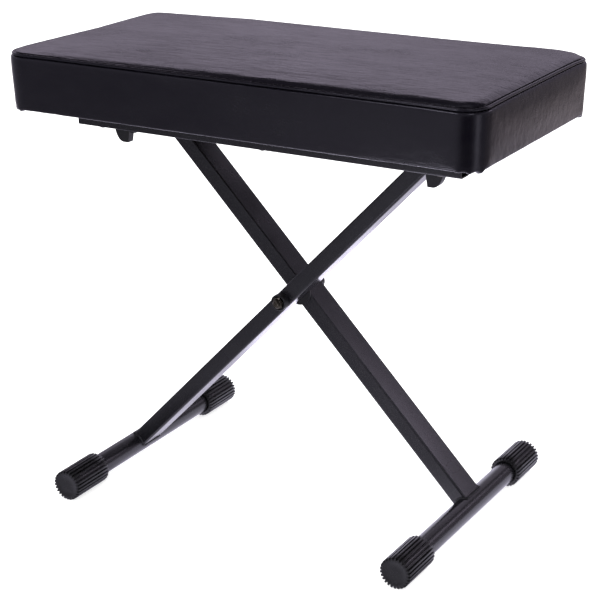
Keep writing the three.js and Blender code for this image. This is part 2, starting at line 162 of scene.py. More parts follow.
# The seam's crease: distance in from the outline and height above the seam, in millimetres
CREASE = [
    (1.5, -2.8), (2.1, -2.4), (2.6, -2.3), (3.1, -2.6), (3.7, -3.0), (4.6, -3.1), (5.8, -2.8),
    (6.8, -2.0), (7.5, -1.0), (7.8, 0.0), (7.5, 0.7), (6.9, 1.05), (6.45, 1.3), (6.4, 1.55),
    (6.6, 1.75),
]
# How far the cover swells, and how soon past the seam
TOP_SWELL = 3.0 * MM
SIDE_SWELL = 1.6 * MM
SIDE_SWELL_POWER = 0.6
SWELL_REACH = 9 * MM
# Steps round the outline: in a corner, along a long side and along a short one
AROUND = (14, 132, 62)
# Levels of the blank and the cover in millimetres: up the side, and in over the crown or below
BLANK_FOOT = 6.5
BLANK_SIDE = (2.4, 5, 10, 16, 24, 32, 40, 48, 55, 60, 62)
BLANK_CROWN = (7, 10, 14, 19, 25, 32, 42, 55, 70, 90, 115, 140)
COVER_UNDER = (34, 31, 28, 25, 22, 19, 16, 13, 10, 8)
COVER_SIDE = (2.4, 3.6, 5, 7, 10, 14, 18, 22, 26, 30, 34, 38, 42, 46, 50, 53.5, 56.5, 58.6, 60.2, 61.2)
COVER_CROWN = [7.0, 7.8, 8.8, 10.0, 11.4, 13.0, 14.8, 16.8, 19, 21.5, 24.5, 28.4]
COVER_CROWN += [33 + 5.4 * k for k in range(22)]
VOXEL = 5 * MM
CLOTH_FRAMES = 20
CLOTH = {
    "quality": 5, "mass": 0.3, "tension_stiffness": 25, "compression_stiffness": 25,
    "bending_stiffness": 4, "use_pressure": True, "uniform_pressure_force": 4.0,
}
# What the cloth is held by: the seam, within a height and a depth, and the foot, below a height
SEAM_HOLD = (4 * MM, 7 * MM)
FOOT_HOLD = 2.5 * MM
# Normals that point further up than this belong to the top
UPWARD = 0.6
# How many simulated points a point of the cover follows, and from how far
FIELD_POINTS = 9
FIELD_REACH = 5 * MM
# The pocket that the board lies in, and the margin folded under it
POCKET_INSETS = (100 * MM, 50 * MM)
POCKET_CORNER = 16 * MM
POCKET_GAP = 0.1 * MM
LIP_DROP = 0.12 * MM
MARGIN_REACH = 34 * MM
MARGIN_THICKNESS = 0.8 * MM
HEM_INSET = 2.9 * MM
HEM_ROLL = 3.0 * MM
HEM_STEPS = 6
COVER_SHARP = 70

# The cover's unevenness. Waves of the crown: depth, how drawn out along the seat, size and seed
CROWN_WAVES = [
    (0.30 * MM, 0.55, 62 * MM, 3), (0.10 * MM, 0.30, 21 * MM, 4), (0.035 * MM, 0.45, 11 * MM, 5),
]
WAVE_FADE = (6 * MM, 36 * MM)
# Puckers from the stitches: size, and depth and reach over the crown and down the side
PUCKER_SIZE = 9 * MM
CROWN_PUCKER = (0.14 * MM, 9 * MM)
SIDE_PUCKER = (0.10 * MM, 8 * MM)
# The rest: depth and size of the noise, and where it fades
SIDE_WAVE = (0.16 * MM, 46 * MM)
HEM_FOLD = (0.9 * MM, 5.2 * MM)
HEM_WAVE = (0.16 * MM, 15 * MM)
HEM_REACH = 7 * MM
CORNER_REACH = 44 * MM
PLEAT = (2.6 * MM, 6.0 * MM)
PLEAT_SHARE = 0.15
SLACK = (0.35 * MM, 19 * MM)
SLACK_SHARE = 0.6
MARGIN_FADE = 6 * MM
HEM_FADE = (3 * MM, 7 * MM)
RAGGED = (1.5 * MM, 14 * MM)
RAGGED_BAND = 1 * MM
# Gathers under the corners: signs of the corner, angle round it, drop and half width in millimetres
GATHERS = [
    (1, -1, -52, 2.6, 3.4), (1, -1, -22, 3.0, 3.6), (1, -1, -80, 1.2, 3.0), (1, 1, 22, 3.4, 4.0),
    (1, 1, 50, 2.6, 3.6), (1, 1, 78, 1.6, 3.2), (-1, 1, 108, 2.2, 3.4), (-1, 1, 140, 2.8, 3.8),
    (-1, 1, 166, 1.8, 3.2), (-1, -1, 196, 2.4, 3.6), (-1, -1, 222, 3.2, 4.0),
    (-1, -1, 250, 2.0, 3.4),
]
GATHER_START = 8 * MM
GATHER_REACH = 6 * MM
GATHER_RISE = 4 * MM
# How much lower the crown lies along the front, by place along the seat, in millimetres
FRONT_SLUMP = [(-305, 4.6), (-284, 4.1), (-243, 2.7), (-202, 1.9), (-120, 1.3), (0, 0.0)]
FRONT_FADE = (-110 * MM, 30 * MM)
SLUMP_START = 7 * MM
SLUMP_REACH = 5 * MM
# How far the upper edge hangs: at each corner, by its signs, with a reach, and along two sides
CORNER_SAGS = [
    (-1, 1, 0.8 * MM, 42 * MM), (1, 1, 3.0 * MM, 34 * MM), (-1, -1, 0.6 * MM, 40 * MM),
    (1, -1, 1.1 * MM, 48 * MM),
]
LEFT_SAG = 3.4 * MM
LEFT_SAG_FADE = (150 * MM, 260 * MM)
REAR_SAG = 0.7 * MM
REAR_SAG_FADE = (60 * MM, 140 * MM)
REAR_SAG_END = (120 * MM, 270 * MM)
SAG_FOOT = 12 * MM

# Piping in the seam; its opening is in degrees, to each side of the tail
PIPING_RADIUS = 1.75 * MM
PIPING_INSET = 3.7 * MM
PIPING_TAIL = 4.4 * MM
PIPING_TAIL_HALF = 0.4 * MM
PIPING_RISE = -0.3 * MM
PIPING_OPENING = 15
PIPING_SIDES = 14
PIPING_AROUND = (20, 190, 90)
PIPING_LIFT = (0.16 * MM, 12 * MM)
PIPING_SWAY = (0.18 * MM, 16 * MM)

# Staples under the board: each point's share of the half length and how far it is bent up
STAPLE_LENGTH = 11 * MM
STAPLE_BENDS = [(-1, 1.0 * MM), (-0.86, 0), (0.86, 0), (1, 1.0 * MM)]
STAPLE_WIRE = 0.55 * MM
STAPLE_SIDES = 6
STAPLE_PITCH = 24 * MM
STAPLE_INSET = 25 * MM
STAPLE_CORNER = 14 * MM
STAPLE_AROUND = (12, 200, 100)
STAPLE_TILT = 0.5
STAPLE_DROP = 0.9 * MM

# Ribbed foot caps
CAP_RIBS = 26
CAP_RIB_STEPS = 12
CAP_RADIUS = 18.97 * MM
CAP_GROOVE = 2.5 * MM
CAP_BORE = 13.32 * MM
CAP_FILLET = 1.3 * MM
CAP_FILLET_STEPS = 4
CAP_DISC = 13.6 * MM
CAP_DISH = 0.5 * MM
CAP_DISH_RADII = (6 * MM, 1 * MM)
# Distance from the mouth, and how much wider than the bore or further in than the ribs, in millimetres
CAP_MOUTH = [(9, 0), (1.4, 0), (0.3, 0.5), (0.0, 1.3)]
CAP_LIP = [(0.0, 0.9), (0.35, 0.3), (1.0, 0.0)]
# A rib's half width and flank in shares of the pitch, and how much its top falls away
RIB_HALF = 0.38
RIB_FLANK = 0.14
RIB_CROWN = 0.10
# How far each cap sits further forward on its bar than the solid, as the photograph shows
CAP_FORWARD = {"foot_cap_b_front": 4.5 * MM, "foot_cap_b_back": 2.5 * MM, "foot_cap_a_front": 2.0 * MM}

# Pivot hardware
ROUND_SIDES = 72
HEX_ACROSS_CORNERS = 15 * MM
HEX_CHAMFER = 30
HEAD_FACE = 5.9 * MM
# The dish in the head: radius and depth
HEAD_DISH = [(5.31 * MM, 0.0), (4.3542 * MM, 0.5 * MM)]
NUT_FACE = 6.1 * MM
NUT_COLLAR = 1.9 * MM
# The nut's collar: radius and distance from its end, in millimetres
COLLAR = [(5.75, 1.9), (5.7, 0.9), (5.3, 0.3), (4.9, 0), (4.25, 0), (4.1, 1.9)]
THREAD_RADIUS = 4 * MM
THREAD_PITCH = 1.25 * MM
THREAD_DEPTH = 0.45 * MM
THREAD_STEPS = 26
THREAD_SIDES = 36
THREAD_START = 1.5 * MM
# The bolt's plain end: its length, then radius and distance from the end
BOLT_END_LENGTH = 0.5 * MM
BOLT_END = [(3.3 * MM, 0.1 * MM), (2.9 * MM, 0.0)]
BOSS_BORE = 4.1 * MM
BOSS_EDGE = 0.5 * MM
BOSS_RIM = 1.0 * MM
BOSS_RIM_STEPS = 5
# The recess in a boss: radius and distance from the end, in millimetres
BOSS_RECESS = [(8.35, 0), (8.2, 0.2), (8.2, 3), (4.1, 3)]

# Welds
LEG_HALF_WIDTH = 10 * MM
LEG_CORNER = 2.5 * MM
BEAD_AROUND = (6, 22, 40)
BEAD_SIDES = 10
BEAD_RADIUS = 1.9 * MM
BEAD_PITCH = 3.1 * MM
BEAD_LEAN = 0.6
BEAD_WANDER = 9 * MM
# The bead's least radius, what a ripple adds and how far it wanders, in shares of its radius
BEAD_SHARES = (0.72, 0.34, 0.2)

# Screws with a cross recess
SCREW_SIDES = 48
SCREW_LEVELS = 10
SCREW_HEAD = 5.0 * MM
SCREW_RISE = 3.0 * MM
SCREW_POLE = 0.02 * MM
RECESS_ARM = 2.6 * MM
RECESS_HALF = 0.55 * MM
RECESS_DEPTH = 1.3 * MM
RAIL_SCREW_INSET = 29 * MM

# Shading of the CAD nodes
MERGE_DISTANCE = 0.005 * MM
SHARP_ANGLE = 38


# Mesh helpers

def link(name, data, material=None):
    """A new object in the scene with that data, and with that material on a mesh."""
    if material:
        data.materials.append(material)
    made = bpy.data.objects.new(name, data)
    bpy.context.scene.collection.objects.link(made)
    return made


def clean(mesh, distance, dissolve=False):
    """Joins points closer than that, and turns the faces out."""
    shape = bmesh.new()
    shape.from_mesh(mesh)
    bmesh.ops.remove_doubles(shape, verts=shape.verts, dist=distance)
    if dissolve:
        bmesh.ops.dissolve_degenerate(shape, edges=shape.edges, dist=1e-7)
    bmesh.ops.recalc_face_normals(shape, faces=shape.faces)
    shape.to_mesh(mesh)
    shape.free()


def shade(mesh, sharp_degrees):
    """Shades the mesh smooth, with its edges sharp past that angle."""
    mesh.shade_smooth()
    mesh.set_sharp_from_angle(angle=math.radians(sharp_degrees))


def mesh_of(name, shape, sharp_degrees):
    """A clean, shaded mesh from a skin's points and faces."""
    points, faces = shape
    mesh = bpy.data.meshes.new(name)
    mesh.from_pydata([tuple(p) for p in points], [], faces)
    clean(mesh, 1e-7)
    shade(mesh, sharp_degrees)
    return mesh


def piece(name, shape, material, body, sharp_degrees=35):
    """A finished piece that rides on a body, from a skin's points and faces."""
    made = link(name, mesh_of(name, shape, sharp_degrees), material)
    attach(made, body)
    return made


def skin(rings, closed=False):
    """Points and faces of a skin over rings of equal count: closed joins the last ring to the first,
    and otherwise both end rings are filled."""
    count = len(rings[0])
    points = [p for ring in rings for p in ring]
    faces = []
    spans = len(rings) if closed else len(rings) - 1
    for r in range(spans):
        here, there = r * count, ((r + 1) % len(rings)) * count
        for i in range(count):
            j = (i + 1) % count
            faces.append((here + i, here + j, there + j, there + i))
    if not closed:
        faces.append(tuple(reversed(range(count))))
        faces.append(tuple(range((len(rings) - 1) * count, len(rings) * count)))
    return points, faces


def joined(skins):
    """Points and faces of several skins as one."""
    points, faces = [], []
    for new_points, new_faces in skins:
        offset = len(points)
        points += new_points
        faces += [tuple(offset + v for v in face) for face in new_faces]
    return points, faces


def turns(count):
    """That many even angles of a full turn."""
    return [2 * math.pi * k / count for k in range(count)]


def quarter(steps):
    """The angles of a quarter turn in that many steps, with both ends."""
    return [k / steps * math.pi / 2 for k in range(steps + 1)]


def circle(radius, z, sides=ROUND_SIDES):
    """A level ring about the Z axis; the radius may be a function of the angle."""
    reaches = [(radius(a) if callable(radius) else radius, a) for a in turns(sides)]
    return [Vector((reach * math.cos(a), reach * math.sin(a), z)) for reach, a in reaches]


def level_ring(outline, z):
    return [Vector((x, y, z)) for x, y in outline]


def sweep(path, outward, radii, sides):
    """Rings of a round bar along a closed path; outward gives a direction across it at each point."""
    rings = []
    for i, point in enumerate(path):
        tangent = (path[(i + 1) % len(path)] - path[i - 1]).normalized()
        across = (outward[i] - tangent * outward[i].dot(tangent)).normalized()
        other = tangent.cross(across)
        ring = circle(radii[i], 0, sides)
        rings.append([point + across * p.x + other * p.y for p in ring])
    return rings


def placed(rings, matrix):
    return [[matrix @ Vector(p) for p in ring] for ring in rings]


def along_y(centre, facing):
    """A frame whose Z axis points along facing * Y from centre."""
    turn = Matrix.Rotation(math.radians(-90 * facing), 4, "X")
    return Matrix.Translation(centre) @ turn


def middle(node):
    """The middle of a CAD node's box."""
    low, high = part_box(node)
    return (low + high) / 2


def rounded_outline(half_x, half_y, radius, corner_steps, long_steps, short_steps):
    """Points of a rectangle with rounded corners, anticlockwise, as (x, y) pairs."""
    points = []
    corners = [(1, 1), (-1, 1), (-1, -1), (1, -1)]

    def on_corner(index, angle):
        sx, sy = corners[index % 4]
        return (sx * (half_x - radius) + radius * math.cos(angle),
                sy * (half_y - radius) + radius * math.sin(angle))

    for index in range(4):
        for angle in quarter(corner_steps):
            points.append(on_corner(index, index * math.pi / 2 + angle))
        steps = long_steps if index % 2 == 0 else short_steps
        (start_x, start_y), (end_x, end_y) = points[-1], on_corner(index + 1, (index + 1) * math.pi / 2)
        for share in (step / steps for step in range(1, steps)):
            points.append((start_x + (end_x - start_x) * share, start_y + (end_y - start_y) * share))
    return points


def baked(source):
    """The object with its modifiers applied to its mesh."""
    graph = bpy.context.evaluated_depsgraph_get()
    mesh = bpy.data.meshes.new_from_object(source.evaluated_get(graph))
    source.modifiers.clear()
    source.data = mesh
    return source


def vectors(items, field):
    """A vector field of a mesh's points as an array."""
    values = np.zeros(len(items) * 3, np.float32)
    items.foreach_get(field, values)
    return values.reshape(-1, 3).astype(float)


# Material helpers

def add(tree, kind, sockets=None, **settings):
    """A shader node; sockets gives values or other nodes' outputs for its inputs."""
    made = tree.nodes.new("ShaderNode" + kind)
    for key, value in settings.items():
        setattr(made, key, value)
    for key, value in (sockets or {}).items():
        if isinstance(value, bpy.types.NodeSocket):
            tree.links.new(value, made.inputs[key])
        else:
            made.inputs[key].default_value = value
    return made


def new_material(name, **uniform):
    """A material, its tree and object coordinates, with the shader's uniform values set."""
    material = bpy.data.materials.new(name)
    material.use_nodes = True
    tree = material.node_tree
    for key, value in uniform.items():
        tree.nodes["Principled BSDF"].inputs[key.replace("_", " ")].default_value = value
    return material, tree, add(tree, "TexCoord").outputs["Object"]


def wired(material, **outputs):
    """The material, with nodes' outputs linked to its shader's inputs."""
    tree = material.node_tree
    for key, output in outputs.items():
        tree.links.new(output, tree.nodes["Principled BSDF"].inputs[key.replace("_", " ")])
    return material


def stretch(tree, place, scale):
    return add(tree, "Mapping", {"Vector": place, "Scale": scale}).outputs["Vector"]


def cloud(tree, place, scale, detail=3.0, roughness=0.5):
    sockets = {"Vector": place, "Scale": scale, "Detail": detail, "Roughness": roughness}
    return add(tree, "TexNoise", sockets).outputs["Fac"]


def ranged(tree, value, low, high, to_low, to_high):
    sockets = {"Value": value, "From Min": low, "From Max": high, "To Min": to_low, "To Max": to_high}
    return add(tree, "MapRange", sockets).outputs["Result"]


def sum_of(tree, a, b):
    return add(tree, "Math", {0: a, 1: b}, operation="ADD").outputs[0]


def product(tree, a, b):
    return add(tree, "Math", {0: a, 1: b}, operation="MULTIPLY").outputs[0]


def mixed(tree, share, a, b):
    """A colour between a and b."""
    sockets = {0: share, 6: a, 7: b}
    return add(tree, "Mix", sockets, data_type="RGBA").outputs[2]


def rounded(tree, radius):
    """The normal of the shape with its edges rounded."""
    return add(tree, "Bevel", {"Radius": radius}, samples=4).outputs["Normal"]


def bump(tree, height, distance, strength=1.0, below=None):
    sockets = {"Height": height, "Distance": distance, "Strength": strength}
    if below is not None:
        sockets["Normal"] = below
    return add(tree, "Bump", sockets).outputs["Normal"]


def edge_wear(tree, place, radius):
    """A mask, near 1 where an edge is worn: the rounded normal differs from the true one there."""
    true = add(tree, "NewGeometry").outputs["Normal"]
    sockets = {0: rounded(tree, radius), 1: true}
    along = add(tree, "VectorMath", sockets, operation="DOT_PRODUCT").outputs["Value"]
    edge = ranged(tree, along, 0.985, 0.8, 0.0, 1.0)
    patchy = ranged(tree, cloud(tree, place, 140, 4), 0.45, 0.62, 0.1, 1.0)
    return product(tree, edge, patchy)


def vinyl(name):
    """Soft semi-gloss vinyl: a fine pebble grain, with broad patches that shine differently."""
    material, tree, place = new_material(name, IOR=1.45, Metallic=0.0)
    broad = cloud(tree, stretch(tree, place, (1.0, 2.2, 2.2)), 9.0, 4.0, 0.55)
    finer = cloud(tree, stretch(tree, place, (1.0, 1.8, 1.8)), 46.0, 3.0)
    streaks = cloud(tree, stretch(tree, place, (1.0, 3.2, 3.2)), 36.0, 6.0, 0.62)
    warp = add(tree, "TexNoise", {"Vector": place, "Scale": 420.0, "Detail": 2.0}).outputs["Color"]
    moved = add(tree, "MixRGB", {"Fac": 0.0012, "Color1": place, "Color2": warp}, blend_type="ADD")
    pebbles = add(tree, "TexVoronoi", {"Vector": moved.outputs[0], "Scale": 900.0}).outputs["Distance"]
    colour = mixed(tree, broad, (0.0022, 0.0018, 0.0036, 1), (0.0042, 0.0036, 0.0060, 1))
    gloss = ranged(tree, broad, 0.35, 0.65, 0.13, 0.25)
    gloss = sum_of(tree, gloss, ranged(tree, finer, 0.2, 0.8, -0.03, 0.03))
    gloss = sum_of(tree, gloss, ranged(tree, pebbles, 0.0, 0.8, 0.03, -0.02))
    gloss = sum_of(tree, gloss, ranged(tree, streaks, 0.35, 0.65, -0.045, 0.045))
    soft = bump(tree, finer, 0.35 * MM, 0.5)
    normal = add(tree, "NewGeometry").outputs["True Normal"]
    upward = add(tree, "SeparateXYZ", {"Vector": normal}).outputs["Z"]
    on_top = ranged(tree, upward, 0.9, 0.99, 0.28, 1.0)
    drawn = bump(tree, product(tree, streaks, on_top), 1.15 * MM, 1.0, soft)
    grain = bump(tree, pebbles, 0.05 * MM, 0.5, drawn)
    return wired(material, Base_Color=colour, Roughness=gloss, Normal=grain)


def powder_coat(name, colour, gloss, grain, depth):
    """Satin powder coat on steel: fine orange peel, faint dust, edges rubbed lighter."""
    material, tree, place = new_material(name, IOR=1.5, Metallic=0.0)
    worn = (0.05, 0.049, 0.052, 1)
    peel = cloud(tree, place, grain, 3.0, 0.6)
    patches = cloud(tree, place, 22, 4.0)
    specks = ranged(tree, cloud(tree, place, 1100, 2.0), 0.55, 0.68, 0.0, 1.0)
    wear = edge_wear(tree, place, 0.7 * MM)
    lighter = tuple(1.35 * c for c in colour)
    base = mixed(tree, patches, (*colour, 1), (*lighter, 1))
    base = mixed(tree, product(tree, specks, 0.25), base, worn)
    base = mixed(tree, product(tree, wear, 0.55), base, worn)
    rough = sum_of(tree, ranged(tree, patches, 0.3, 0.7, *gloss), product(tree, wear, -0.06))
    peeled = bump(tree, peel, depth, 0.8, rounded(tree, 0.35 * MM))
    return wired(material, Base_Color=base, Roughness=rough, Normal=peeled)


def rubber(name):
    """Matt moulded rubber, a little dusty in patches."""
    material, tree, place = new_material(name, IOR=1.5, Metallic=0.0)
    patches = cloud(tree, place, 70, 4.0)
    base = mixed(tree, patches, (0.0028, 0.0028, 0.0032, 1), (0.0085, 0.0083, 0.009, 1))
    rough = ranged(tree, patches, 0.3, 0.7, 0.23, 0.33)
    grain = bump(tree, cloud(tree, place, 900, 4.0, 0.65), 0.06 * MM, 0.6)
    return wired(material, Base_Color=base, Roughness=rough, Normal=grain)


def moulded_plastic(name):
    """Black moulded plastic with a spark-eroded surface."""
    material, tree, place = new_material(name, IOR=1.46, Metallic=0.0)
    patches = cloud(tree, place, 60, 3.0)
    wear = product(tree, edge_wear(tree, place, 0.6 * MM), 0.4)
    base = mixed(tree, patches, (0.004, 0.004, 0.0045, 1), (0.008, 0.008, 0.0088, 1))
    base = mixed(tree, wear, base, (0.05, 0.05, 0.05, 1))
    rough = ranged(tree, patches, 0.3, 0.7, 0.38, 0.5)
    eroded = cloud(tree, place, 1400, 3.0, 0.6)
    grain = bump(tree, eroded, 0.03 * MM, 0.5, rounded(tree, 0.4 * MM))
    return wired(material, Base_Color=base, Roughness=rough, Normal=grain)


def dark_zinc(name):
    """Dark zinc plate with rubbed edges and fine scratches."""
    material, tree, place = new_material(name, Metallic=1.0)
    scratches = cloud(tree, stretch(tree, place, (1.0, 14.0, 1.0)), 260, 4.0, 0.7)
    patches = cloud(tree, place, 240, 3.0)
    wear = product(tree, edge_wear(tree, place, 0.5 * MM), 0.8)
    base = mixed(tree, patches, (0.030, 0.026, 0.018, 1), (0.12, 0.108, 0.082, 1))
    base = mixed(tree, wear, base, (0.40, 0.385, 0.34, 1))
    rough = ranged(tree, scratches, 0.3, 0.7, 0.24, 0.42)
    grain = bump(tree, scratches, 0.02 * MM, 0.5)
    return wired(material, Base_Color=base, Roughness=rough, Normal=grain)


def stained_board(name):
    """Dark stained plywood, its grain along the seat."""
    material, tree, place = new_material(name, IOR=1.45, Metallic=0.0)
    rings = cloud(tree, stretch(tree, place, (1.2, 26.0, 26.0)), 6.0, 6.0, 0.62)
    fibres = cloud(tree, stretch(tree, place, (4.0, 160.0, 160.0)), 7.0, 4.0, 0.7)
    base = mixed(tree, rings, (0.012, 0.009, 0.007, 1), (0.055, 0.040, 0.030, 1))
    base = mixed(tree, ranged(tree, fibres, 0.5, 0.75, 0.0, 0.5), base, (0.008, 0.006, 0.005, 1))
    rough = ranged(tree, fibres, 0.3, 0.7, 0.55, 0.75)
    return wired(material, Base_Color=base, Roughness=rough, Normal=bump(tree, fibres, 0.12 * MM, 0.6))


def staple_wire(name):
    """Bright galvanised wire, slightly dulled."""
    material, tree, place = new_material(name, Metallic=1.0)
    patches = cloud(tree, place, 500, 3.0)
    base = mixed(tree, patches, (0.34, 0.34, 0.35, 1), (0.62, 0.62, 0.62, 1))
    return wired(material, Base_Color=base, Roughness=ranged(tree, patches, 0.3, 0.7, 0.28, 0.45))


def pale_floor(name):
    """White floor that shines a little by itself, so that hardly a shadow shows on it."""
    shine = {"Emission_Color": (1, 1, 1, 1), "Emission_Strength": FLOOR_SHINE}
    material, tree, place = new_material(name, IOR=1.4, Roughness=0.9, **shine)
    base = mixed(tree, cloud(tree, place, 3.0, 3.0), (0.86, 0.86, 0.86, 1), (0.90, 0.90, 0.90, 1))
    return wired(material, Base_Color=base)


VINYL = vinyl("seat_vinyl_grain")
COAT = powder_coat("black_powder_coat", (0.0042, 0.004, 0.0054), (0.20, 0.29), 620, 0.1 * MM)
WELD = powder_coat("black_weld_coat", (0.003, 0.003, 0.0035), (0.34, 0.5), 480, 0.4 * MM)
RUBBER = rubber("cap_rubber_matt")
PLASTIC = moulded_plastic("black_plastic_moulded")
ZINC = dark_zinc("dark_zinc_plate")
BOARD = stained_board("stained_plywood")
WIRE = staple_wire("staple_wire_bright")


# Studio

def camera():
    azimuth, elevation = math.radians(CAMERA_AZIMUTH), math.radians(CAMERA_ELEVATION)
    roll = math.radians(CAMERA_ROLL)
    flat = math.cos(elevation)
    back = Vector((math.sin(azimuth) * flat, -math.cos(azimuth) * flat, math.sin(elevation)))
    right = (-back).cross(Vector((0, 0, 1))).normalized()
    up = right.cross(-back)
    right, up = right * math.cos(roll) + up * math.sin(roll), up * math.cos(roll) - right * math.sin(roll)
    data = bpy.data.cameras.new("camera")
    data.lens = CAMERA_LENS
    data.sensor_width = CAMERA_SENSOR
    made = link("camera", data)
    turn = Matrix((right, up, back)).transposed().to_4x4()
    made.matrix_world = Matrix.Translation(CAMERA_PLACE) @ turn
    bpy.context.scene.camera = made


def floor():
    corners = [(x * FLOOR_HALF, y * FLOOR_HALF) for x, y in ((-1, -1), (1, -1), (1, 1), (-1, 1))]
    mesh = bpy.data.meshes.new("floor")
    mesh.from_pydata(level_ring(corners, -FLOOR_DROP), [], [(0, 1, 2, 3)])
    made = link("floor", mesh, pale_floor("pale_floor"))
    made.visible_glossy = False


def world_light():
    """A plain pale surround for the soft light; the gloss sees the bowl below instead."""
    world = bpy.data.worlds.new("surround")
    world.use_nodes = True
    tree = world.node_tree
    tree.nodes.clear()
    light = add(tree, "Background", {"Color": (1, 1, 1, 1), "Strength": WORLD_GLOW})
    add(tree, "OutputWorld", {"Surface": light.outputs[0]})
    bpy.context.scene.world = world


def ceiling():
    """A broad soft light overhead that whitens the floor and does not mirror in the gloss."""
    data = bpy.data.lights.new("ceiling", "AREA")
    data.shape = "SQUARE"
    data.size = CEILING_SIZE
    data.energy = CEILING_POWER
    made = link("ceiling", data)
    made.location = (0, 0, CEILING_HEIGHT)
    made.visible_glossy = False
    made.visible_camera = False


def eased(value, low, high):
    """0 at low, 1 at high, smooth between."""
    share = min(1.0, max(0.0, (value - low) / (high - low)))
    return share * share * (3 - 2 * share)


def fade(value, low, high, at_low, at_high):
    """at_low at low, at_high at high, smooth between."""
    return at_low + (at_high - at_low) * eased(value, low, high)


def band(value, low, start, end, high):
    """1 between start and end, 0 outside low and high, smooth between."""
    return eased(value, low, start) * (1 - eased(value, end, high))


def table(rows, value):
    return float(np.interp(value, *zip(*rows)))


def wrapped(azimuth):
    """The azimuth from -180 to 180 degrees."""
    return (azimuth + 180) % 360 - 180


def behind_share(azimuth):
    """1 behind the bench, 0 in front of it."""
    return 1 - eased(180 - abs(wrapped(azimuth)), *BEHIND_FADE)


def tinted(glow, first, second, share):
    """The glow in a tint between first and second."""
    return [glow * (f + (s - f) * share) for f, s in zip(first, second)]


def with_card(glow, card, azimuth, reach):
    """The glow with a card laid over it."""
    card_glow, azimuths, reaches = card
    centre = sum(azimuths) / 4
    share = band(centre + wrapped(azimuth - centre), *azimuths) * band(reach, *reaches)
    return glow + (card_glow - glow) * share


def floor_glow(radius, azimuth):
    """Colour of the floor as the gloss sees it: pale behind, with cards in front."""
    around, behind = wrapped(azimuth), behind_share(azimuth)
    back = fade(radius, *BACK_FLOOR)
    near = fade(radius, *FRONT_FLOOR)
    near += (back - near) * behind
    far = table(FAR_FLOOR, around) * (back if 180 - abs(around) < BACK_SECTOR else 1.0)
    glow = with_card(fade(radius, *FAR_FADE, near, far), LOW_CARD, azimuth, radius)
    x, y = radius * math.sin(math.radians(azimuth)), -radius * math.cos(math.radians(azimuth))
    at_feet = eased(x, *FEET_X_FADE) * eased(y, *FEET_Y_FADE) * (1 - eased(radius, *FEET_FADE))
    glow = with_card(glow + (FEET_GLOW - glow) * at_feet, REAR_CARD, azimuth, radius)
    return tinted(glow, FRONT_TINT, WARM_TINT, behind * eased(radius, *WARM_FADE))


def wall_glow(height, azimuth):
    """Colour of the backdrop that closes the floor all round; azimuths run from 0 to 360 here."""
    behind = behind_share(azimuth)
    foot = sum(floor_glow(SURROUND_RADII[-1], azimuth)) / 3
    upper = fade(height, *WALL_TOP_FADE, table(FRONT_WALL, wrapped(azimuth)), DARK_WALL)
    upper += sum(with_card(0.0, card, azimuth, height) for card in (GLINT_CARD, CORNER_CARD))
    front = fade(height, *WALL_FOOT_FADE, foot, upper)
    backdrop = table(BACKDROP, height)
    backdrop *= 1 - sum(loss * eased(azimuth, start, end) for loss, start, end in BACKDROP_LOSSES)
    backdrop += (table(SIDE_BACKDROP, height) - backdrop) * band(azimuth, *SIDE_SECTOR)
    back = max(backdrop, *(with_card(0.0, card, azimuth, height) for card in (SIDE_CARD, TALL_CARD)))
    return tinted(front + (back - front) * behind, FRONT_TINT, BACK_TINT, behind)


def top_glow(radius, azimuth):
    """Colour overhead, the same all round: a soft glow that only views from above catch."""
    return [fade(radius, *TOP_FADE) * t for t in FRONT_TINT]


def strip_glow(height, azimuth):
    """Colour of the low strip behind the bench."""
    return [table(STRIP_GLOW, azimuth) * fade(height, *STRIP_FADE) * t for t in FRONT_TINT]


def lit_rings(rows, azimuths, closed):
    """A skin over level arcs, and its points' colours. A row has the arc's radius and height, the
    function that gives its colour, and what that takes beside the azimuth; closed joins the ends."""
    points, faces, colours = [], [], []
    for radius, height, glow_at, reach in rows:
        for azimuth in azimuths:
            turn = math.radians(azimuth)
            points.append((radius * math.sin(turn), -radius * math.cos(turn), height))
            colours += glow_at(reach, azimuth) + [1.0]
    count = len(azimuths)
    for r in range(len(rows) - 1):
        here, there = r * count, (r + 1) * count
        for k in range(count if closed else count - 1):
            j = (k + 1) % count
            corners = (here + k, here + j, there + j, there + k)
            faces.append(corners if rows[r][0] else corners[:1] + corners[2:])
    return (points, faces), colours


def glow_material():
    """Emission in the colours of the mesh's points."""
    material = bpy.data.materials.new("surround_glow")
    material.use_nodes = True
    tree = material.node_tree
    tree.nodes.clear()
    value = add(tree, "Attribute", attribute_name="glow").outputs["Color"]
    light = add(tree, "Emission", {"Color": value, "Strength": 1.0})
    add(tree, "OutputMaterial", {"Surface": light.outputs[0]})
    material.cycles.emission_sampling = "NONE"
    return material


